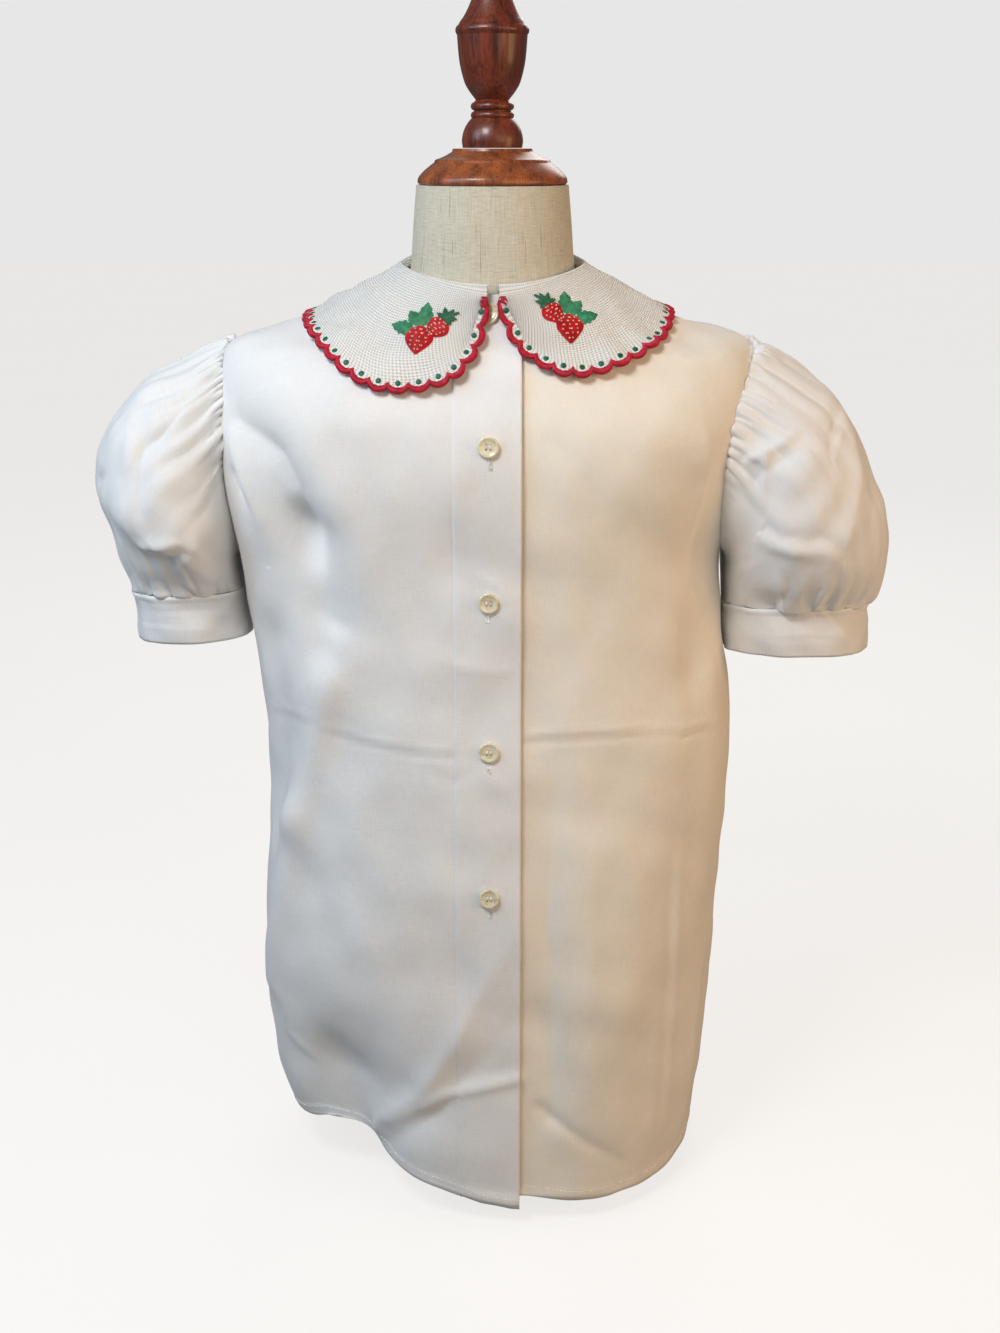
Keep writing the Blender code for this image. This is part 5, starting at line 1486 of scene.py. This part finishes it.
def berry_seeds(spec):
    """Rows of seeds, a little uneven."""
    at = dict(zip(BERRY_COLUMNS, spec))
    seeds = []
    for line in range(6):
        share = 0.17 + line * 0.135
        wide = at["half_width"] * (math.sin(math.pi * share ** 1.35) ** 0.66)
        count = max(int(round(2 * wide / 0.0029)), 1)
        for number in range(count):
            part = ((number + 0.5) / count * 2 - 1) * 0.78 + (0.13, -0.10, 0.04)[(line + number) % 3]
            seeds.append(berry_place(at, share, part, 0.5))
    return seeds


def embroider(cloth, number, spec, finishes, trees):
    """One sprig: two berries, three leaves, a calyx and a stalk."""
    at = dict(zip(STRAWBERRY_COLUMNS, spec))
    start = collar_surface(
        np.array([math.radians(at["turn"] - 90)]), np.array([at["fall"]]), np.array([0.5]))[0]
    row, column = cloth.nearest(start)

    def laid(places, lift):
        x, y, height = np.array(places).T
        x, y = turn_by(x * at["mirror"], y, at["tilt"] * at["mirror"])
        return cloth.around(row, column, x, y, X_AXIS, COLLAR_SHELL / 2 + height * 0.00030 + lift)

    stalk = [(0.0060, 0.0092, 1.0), (0.0074, 0.0118, 1.3), (0.0094, 0.0136, 1.0), (0.0108, 0.0146, 0.4)]
    leaves = [line for leaf in LEAVES for line in leaf_lines(leaf)]
    berries = [line for berry in BERRIES for line in berry_lines(berry)]
    sepals = [line for sepal in SEPALS for line in leaf_lines(sepal, 0.00036)]
    stalks = [stalk, [(x + 0.0004, y - 0.0003, height) for x, y, height in stalk]]
    threads = (  # part, thread, lines, lift, thread radius, thread sides
        ("leaves", "leaf", leaves, 0.0, 0.00024, 5), ("berries", "berry", berries, 0.0001, 0.00027, 5),
        ("calyx", "calyx", sepals, 0.0006, 0.00022, 5), ("stalk", "calyx", stalks, 0.0005, 0.00036, 6),
    )
    made = [
        grow(f"sprig_{number}_{part}", line_guide([laid(line, lift)[0] for line in lines]), trees[thread],
             finishes[thread], thread_radius=radius, thread_sides=sides)
        for part, thread, lines, lift, radius, sides in threads
    ]
    seeds = laid([seed for berry in BERRIES for seed in berry_seeds(berry)], 0.0004)
    made.append(grow(f"sprig_{number}_seeds", point_guide(*seeds), trees["seed"], finishes["seed"],
                     radius=0.00042, height=0.00030))
    return made


BUTTON_PROFILE = (  # shares of the radius and of the thickness
    (0.80, 0.0), (0.93, 0.16), (0.99, 0.40), (1.0, 0.62), (0.985, 0.80), (0.94, 0.94), (0.87, 1.0),
    (0.79, 0.97), (0.70, 0.84), (0.60, 0.72), (0.45, 0.665), (0.2, 0.65),
)


def button_object(name, place, normal, pearl):
    """A four-hole shirt button with a raised rim, a dished middle and pierced holes."""
    rim, thick = BUTTON_RADIUS, BUTTON_THICKNESS
    button = turned_piece(name, [(rim * r, thick * z) for r, z in BUTTON_PROFILE], 48, pearl)
    holes = bmesh.new()
    for turn in np.radians([45, 135, 225, 315]):
        x, y = math.cos(turn) * rim * HOLE_REACH, math.sin(turn) * rim * HOLE_REACH
        bmesh.ops.create_cone(
            holes, cap_ends=True, segments=12, radius1=rim * 0.105, radius2=rim * 0.105,
            depth=thick * 2, matrix=Matrix.Translation((x, y, thick / 2)))
    cutter_mesh = bpy.data.meshes.new("holes")
    holes.to_mesh(cutter_mesh)
    holes.free()
    cutter = bpy.data.objects.new("holes", cutter_mesh)
    bpy.context.scene.collection.objects.link(cutter)
    cut = button.modifiers.new("holes", "BOOLEAN")
    cut.object, cut.operation, cut.solver = cutter, "DIFFERENCE", "EXACT"
    mesh = plain_mesh(button)
    bpy.data.objects.remove(cutter)
    mesh.transform(seat_matrix(place, normal))
    mesh.shade_smooth()
    mesh.set_sharp_from_angle(angle=math.radians(45))
    return add_object(name, mesh, pearl)


def seat_matrix(place, normal):
    """Turns +Z to a normal, keeps +Y upwards and moves the origin to a place."""
    out = Vector(normal).normalized()
    side = Vector((0, 0, 1)).cross(out).normalized()
    up = out.cross(side)
    turned_axes = Matrix((side, up, out)).transposed().to_4x4()
    return Matrix.Translation(Vector(place)) @ turned_axes


def button_threads(name, place, normal, tree, material):
    """Two pairs of threads through the button's holes."""
    seat = seat_matrix(place, normal)
    reach = BUTTON_RADIUS * HOLE_REACH * math.sqrt(0.5)
    arch = ((-1.0, 0.45), (-0.9, 0.68), (-0.4, 0.80), (0.4, 0.80), (0.9, 0.68), (1.0, 0.45))
    lines = [
        [tuple(seat @ Vector((x, part * reach, height * BUTTON_THICKNESS))) for part, height in arch]
        for x in (side * reach + shift for side in (-1, 1) for shift in (-0.00018, 0.00018))
    ]
    return grow(name, line_guide(lines), tree, material, thread_radius=0.00022, thread_sides=6)


def buttonhole(name, cloth, place, tree, material):
    """Close stitches down both sides of an upright slit, with a bar at each end."""
    row, column = cloth.nearest(place)
    half = BUTTONHOLE_LENGTH / 2
    stitches = [
        (np.array([0.00012, 0.00055, 0.00100]) * side, y, [0.0001, 0.00030, 0.0])
        for y in np.arange(-half, half + 1e-6, 0.00042) for side in (-1, 1)
    ]
    stitches += [
        ([-0.00110, 0.0, 0.00110], end * (half + 0.0003 + 0.0003 * bar), [0.0, 0.0003, 0.0])
        for end in (-1, 1) for bar in range(3)
    ]
    lines = [
        cloth.around(row, column, x, y, X_AXIS, np.array(height) + SHELL / 2)[0] for x, y, height in stitches
    ]
    return grow(name, line_guide(lines), tree, material, thread_radius=0.00022, thread_sides=5)


def rows_above_hem(points, distance):
    """Row, for each column, that lies at a distance above the hem."""
    return np.array([np.interp(distance, run, np.arange(len(run))) for run in distances(points).T])


def smooth_form():
    """The covered torso and neck, finely rounded."""
    turn = 2 * math.pi * np.arange(FORM_COLUMNS_ROUND * 4) / (FORM_COLUMNS_ROUND * 4)
    rings = [form_ring(row, turn) for row in FORM_ROWS]
    for level in FORM_SHOULDER_LEVELS:
        levels = np.full(len(turn), level)
        inset = LAYER_STEP * np.exp(-((np.degrees(turn) - 278) / 48) ** 2) + CLOTH / 2 + FORM_CLEARANCE
        rings.append(body_hull(turn, levels) - hull_normal(turn, levels) * inset[:, None])
    rings += [form_ring(row, turn) for row in NECK_ROWS]
    rings = np.stack(rings)
    places = np.linspace(0, len(rings) - 1, (len(rings) - 1) * 5 + 1)
    return np.stack([smooth_column(rings, place) for place in places])


def form_ring(row, turn):
    at = dict(zip(FORM_COLUMNS, row))
    return oval(turn, at, at["half"], FORM_FULLNESS)


def cap_profile():
    foot = CAP_FOOT_Z
    low = round_profile([
        (0.0390, foot), (0.0400, foot + 0.0008), (0.0401, foot + 0.0020), (0.0394, foot + 0.0040),
        (0.0366, foot + 0.0070), (0.0336, foot + 0.0094), (0.0311, foot + 0.0112),
    ], 4)
    ledge = round_profile([
        (0.0309, foot + 0.0121), (0.0301, foot + 0.0127), (0.0280, foot + 0.0134), (0.0248, foot + 0.0148),
        (0.0216, foot + 0.0166),
    ], 4)
    return low + ledge + [(0.0214, foot + 0.0172), (0.0211, foot + 0.0182)]


def finial_profile():
    foot = CAP_FOOT_Z + 0.0182 + SEAM_GAP
    profile = [(0.0158, foot)]
    profile += arc(0, foot + 0.0030, 0.0163, 0, 52, 12)
    profile += arc(0.0094, 0.6170, 0.0021, -80, 80, 9)
    profile += arc(0.0094, 0.6215, 0.0021, -80, 80, 9)
    profile += round_profile([
        (0.0088, 0.6247), (0.0100, 0.6262), (0.0117, 0.6283), (0.0142, 0.6322), (0.0157, 0.6366),
        (0.0171, 0.6424), (0.0178, 0.6480), (0.0182, 0.6530), (0.0184, 0.6560),
    ], 3)
    profile += round_profile([(0.0184, 0.6566), (0.0191, 0.6578), (0.0193, 0.6592), (0.0188, 0.6606)], 4)
    profile += round_profile([
        (0.0179, 0.6614), (0.0166, 0.6634), (0.0150, 0.6655), (0.0130, 0.6690), (0.0113, 0.6726),
        (0.0096, 0.6768), (0.0082, 0.6810),
    ], 3)
    knob = 0.0120
    profile += arc(0, FINIAL_TOP_Z - knob, knob, -50, 88, 22)
    return profile


# Stage

def add_light(name, place, aim, size, power, colour):
    data = bpy.data.lights.new(name, "AREA")
    data.shape = "RECTANGLE"
    data.size, data.size_y = size
    data.energy, data.color = power, colour
    lamp = bpy.data.objects.new(name, data)
    lamp.location = place
    lamp.rotation_euler = (Vector(aim) - Vector(place)).to_track_quat("-Z", "Y").to_euler()
    bpy.context.scene.collection.objects.link(lamp)


def add_stage():
    scene = bpy.context.scene
    data = bpy.data.cameras.new("camera")
    data.lens, data.sensor_width = 43.0, 36.0
    data.clip_start = 0.05
    camera = bpy.data.objects.new("camera", data)
    camera.location = (0.004, -0.891, 0.600)
    camera.rotation_euler = (math.radians(72), 0, 0)
    scene.collection.objects.link(camera)
    scene.camera = camera
    paper, tree, shader, place, _ = new_finish("floor_paper", 0.9, Specular_IOR_Level=0.1)
    set_colour(tree, shader, ramp(
        tree, noise(tree, place, 3.0, 2.0), ((0.3, (0.21, 0.205, 0.20)), (0.7, (0.23, 0.225, 0.22)))))
    shader.inputs["Emission Color"].default_value = (1, 0.985, 0.965, 1)
    seen = node(tree, "ShaderNodeLightPath").outputs["Is Camera Ray"]
    tree.links.new(maths(tree, "MULTIPLY_ADD", seen, 0.70, 0.08), shader.inputs["Emission Strength"])
    mesh = bpy.data.meshes.new("floor")
    mesh.from_pydata([(-6, -4, 0), (6, -4, 0), (6, 8, 0), (-6, 8, 0)], [], [(0, 1, 2, 3)])
    floor = add_object("floor", mesh, paper)
    world = bpy.data.worlds.new("studio")
    scene.world = world
    world.use_nodes = True
    background = world.node_tree.nodes["Background"]
    background.inputs["Color"].default_value = (1.0, 1.0, 1.0, 1)
    sight = world.node_tree.nodes.new("ShaderNodeLightPath")
    level = world.node_tree.nodes.new("ShaderNodeMapRange")
    level.inputs["To Min"].default_value, level.inputs["To Max"].default_value = 0.14, 0.80
    world.node_tree.links.new(sight.outputs["Is Camera Ray"], level.inputs["Value"])
    world.node_tree.links.new(level.outputs["Result"], background.inputs["Strength"])
    add_light("key", (-0.36, -0.60, 1.14), (0, 0, 0.42), (0.30, 0.26), 5.7, (1.0, 0.98, 0.95))
    add_light("front", (0.80, -1.25, 0.85), (0, 0, 0.40), (0.8, 0.8), 3.8, (1.0, 0.81, 0.57))
    add_light("warm_side", (1.10, -0.50, 0.60), (0.05, 0, 0.33), (0.4, 0.6), 4.0, (1.0, 0.58, 0.26))
    add_light("cool_side", (-1.00, -0.50, 1.05), (-0.1, 0, 0.38), (0.5, 0.5), 4.7, (0.50, 0.74, 1.0))
    add_light("back_wash", (0.3, 1.4, 1.2), (0, 0, 0.35), (0.9, 0.7), 6.0, (1.0, 0.97, 0.93))
    scene.view_settings.view_transform = "Standard"


def main():
    add_stage()
    cotton = cotton_finish("white_cotton_lawn", COTTON)
    # A beige-tinted copy of the same white cotton; its tint is painted warm light
    cotton_painted_warm_light = cotton_finish("white_cotton_lawn_warm", COTTON_PAINTED_WARM_LIGHT)
    pique = pique_finish("white_pique", (0.88, 0.87, 0.84))
    linen = linen_finish("slub_linen")
    cap_wood = wood_finish("varnished_mahogany_cap", (0.110, 0.024, 0.008), (0.42, 0.115, 0.030))
    finial_wood = wood_finish("varnished_mahogany_finial", (0.045, 0.007, 0.004), (0.210, 0.038, 0.012))
    pearl = pearl_finish("cream_pearl")
    white_thread = thread_finish("white_sewing_thread", (0.90, 0.89, 0.86), 0.6)
    red_thread = thread_finish("red_satin_thread", THREAD_RED)
    finishes = {
        "leaf": thread_finish("leaf_green_thread", LEAF_GREEN),
        "berry": thread_finish("berry_red_thread", BERRY_RED),
        "calyx": thread_finish("calyx_green_thread", tint(LEAF_GREEN, 0.55)),
        "seed": thread_finish("pale_seed_thread", (0.85, 0.62, 0.50)),
        "dot": thread_finish("dot_green_thread", DOT_GREEN),
    }
    trees = {
        "leaf": thread_tree(finishes["leaf"]), "berry": thread_tree(finishes["berry"]),
        "calyx": thread_tree(finishes["calyx"]), "seed": dot_tree(finishes["seed"]),
        "dot": dot_tree(finishes["dot"]), "satin": thread_tree(red_thread),
        "white": thread_tree(white_thread), "stitch": stitch_tree(white_thread),
    }

    def keep(thing, slot, *nodes):
        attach(thing, "root")
        if nodes:
            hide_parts(*nodes)
        return thing

    body, cloths = {}, {}
    # The wearer's left front wears the beige-tinted copy of the cotton, whose tint is painted warm light
    for name, points, finish in (
        ("front_right", front_panel("right"), cotton), ("front_left", front_panel("left"), cotton_painted_warm_light),
        ("back", back_panel(), cotton),
    ):
        cloth = cloths[name] = Cloth(points, grid_normals(points))
        body[name] = keep(cloth_object(name + "_cloth", points, cloth.normals, SHELL, finish), "cotton", name)
    for side in ("right", "left"):
        for piece, panel, shell in (("sleeve", sleeve_panel, SHELL), ("cuff", cuff_panel, CUFF_SHELL)):
            name, points = f"{piece}_{side}", panel(side)
            wall = cloth_object(name + "_cloth", points, outward_normals(points), shell, cotton, closed=True)
            keep(wall, "cotton", name)
    points, normals = finish_collar(collar_grid())
    collar_cloth = Cloth(points, normals)
    collar = keep(cloth_object("collar_pique", points, normals, COLLAR_SHELL, pique), "pique", "collar")
    trims = [
        keep(band_edge(collar_cloth, red_thread), "pique"),
        keep(satin_edge(collar_cloth, red_thread, trees["satin"]), "pique"),
        keep(collar_dots(collar_cloth, finishes["dot"], trees["dot"]), "pique"),
    ]
    for number, spec in enumerate(STRAWBERRIES, 1):
        trims += [keep(thing, "pique") for thing in embroider(collar_cloth, number, spec, finishes, trees)]

    stitches = {}
    for name, cloth in cloths.items():
        rows = rows_above_hem(cloth.points, HEM_BAND)[2:-2]
        line = cloth.at(rows, np.arange(2, len(rows) + 2), np.full(len(rows), SHELL / 2))
        hem = grow(
            "hem_stitches_" + name.split("_")[-1], line_guide([line]), trees["stitch"], white_thread)
        stitches[name] = [keep(hem, "cotton")]
    for number, height in enumerate(BUTTON_HEIGHTS, 1):
        levels = np.linspace(1, NECK_LEVEL, 400)
        level = np.interp(height, body_cloth(angle_at_x(BUTTON_X, levels), levels)[:, 2], levels)
        level = np.array([level])
        spot = angle_at_x(BUTTON_X, level)
        normal, place = cloth_normal(spot, level)[0], body_cloth(spot, level)[0]
        front = cloths["front_right"]
        row, column = front.nearest(place)
        surface = front.at([row], [column], [SHELL / 2 + 0.0003])[0]
        seat = place + normal * ((surface - place) @ normal)
        keep(button_object(f"button_{number}_pearl", seat, normal, pearl), "button", f"button_{number}")
        keep(button_threads(f"button_{number}_thread", seat, normal, trees["white"], white_thread), "button")
        if number > 1:
            below = place - [0, 0, BUTTONHOLE_DROP]
            hole = buttonhole(f"buttonhole_{number}", front, below, trees["white"], white_thread)
            stitches["front_right"].append(keep(hole, "cotton"))

    keep(stacked_rings("form_linen", smooth_form(), linen, uv=True), "linen", "form_torso")
    keep(turned_piece("neck_cap_wood", cap_profile(), 96, cap_wood), "wood", "neck_cap")
    keep(turned_piece("finial_wood", finial_profile(), 80, finial_wood), "wood", "finial")
    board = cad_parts["base_board"]
    board_object = board if isinstance(board, bpy.types.Object) else bpy.data.objects["base_board"]
    for slot in board_object.material_slots:
        slot.material = cap_wood


main()
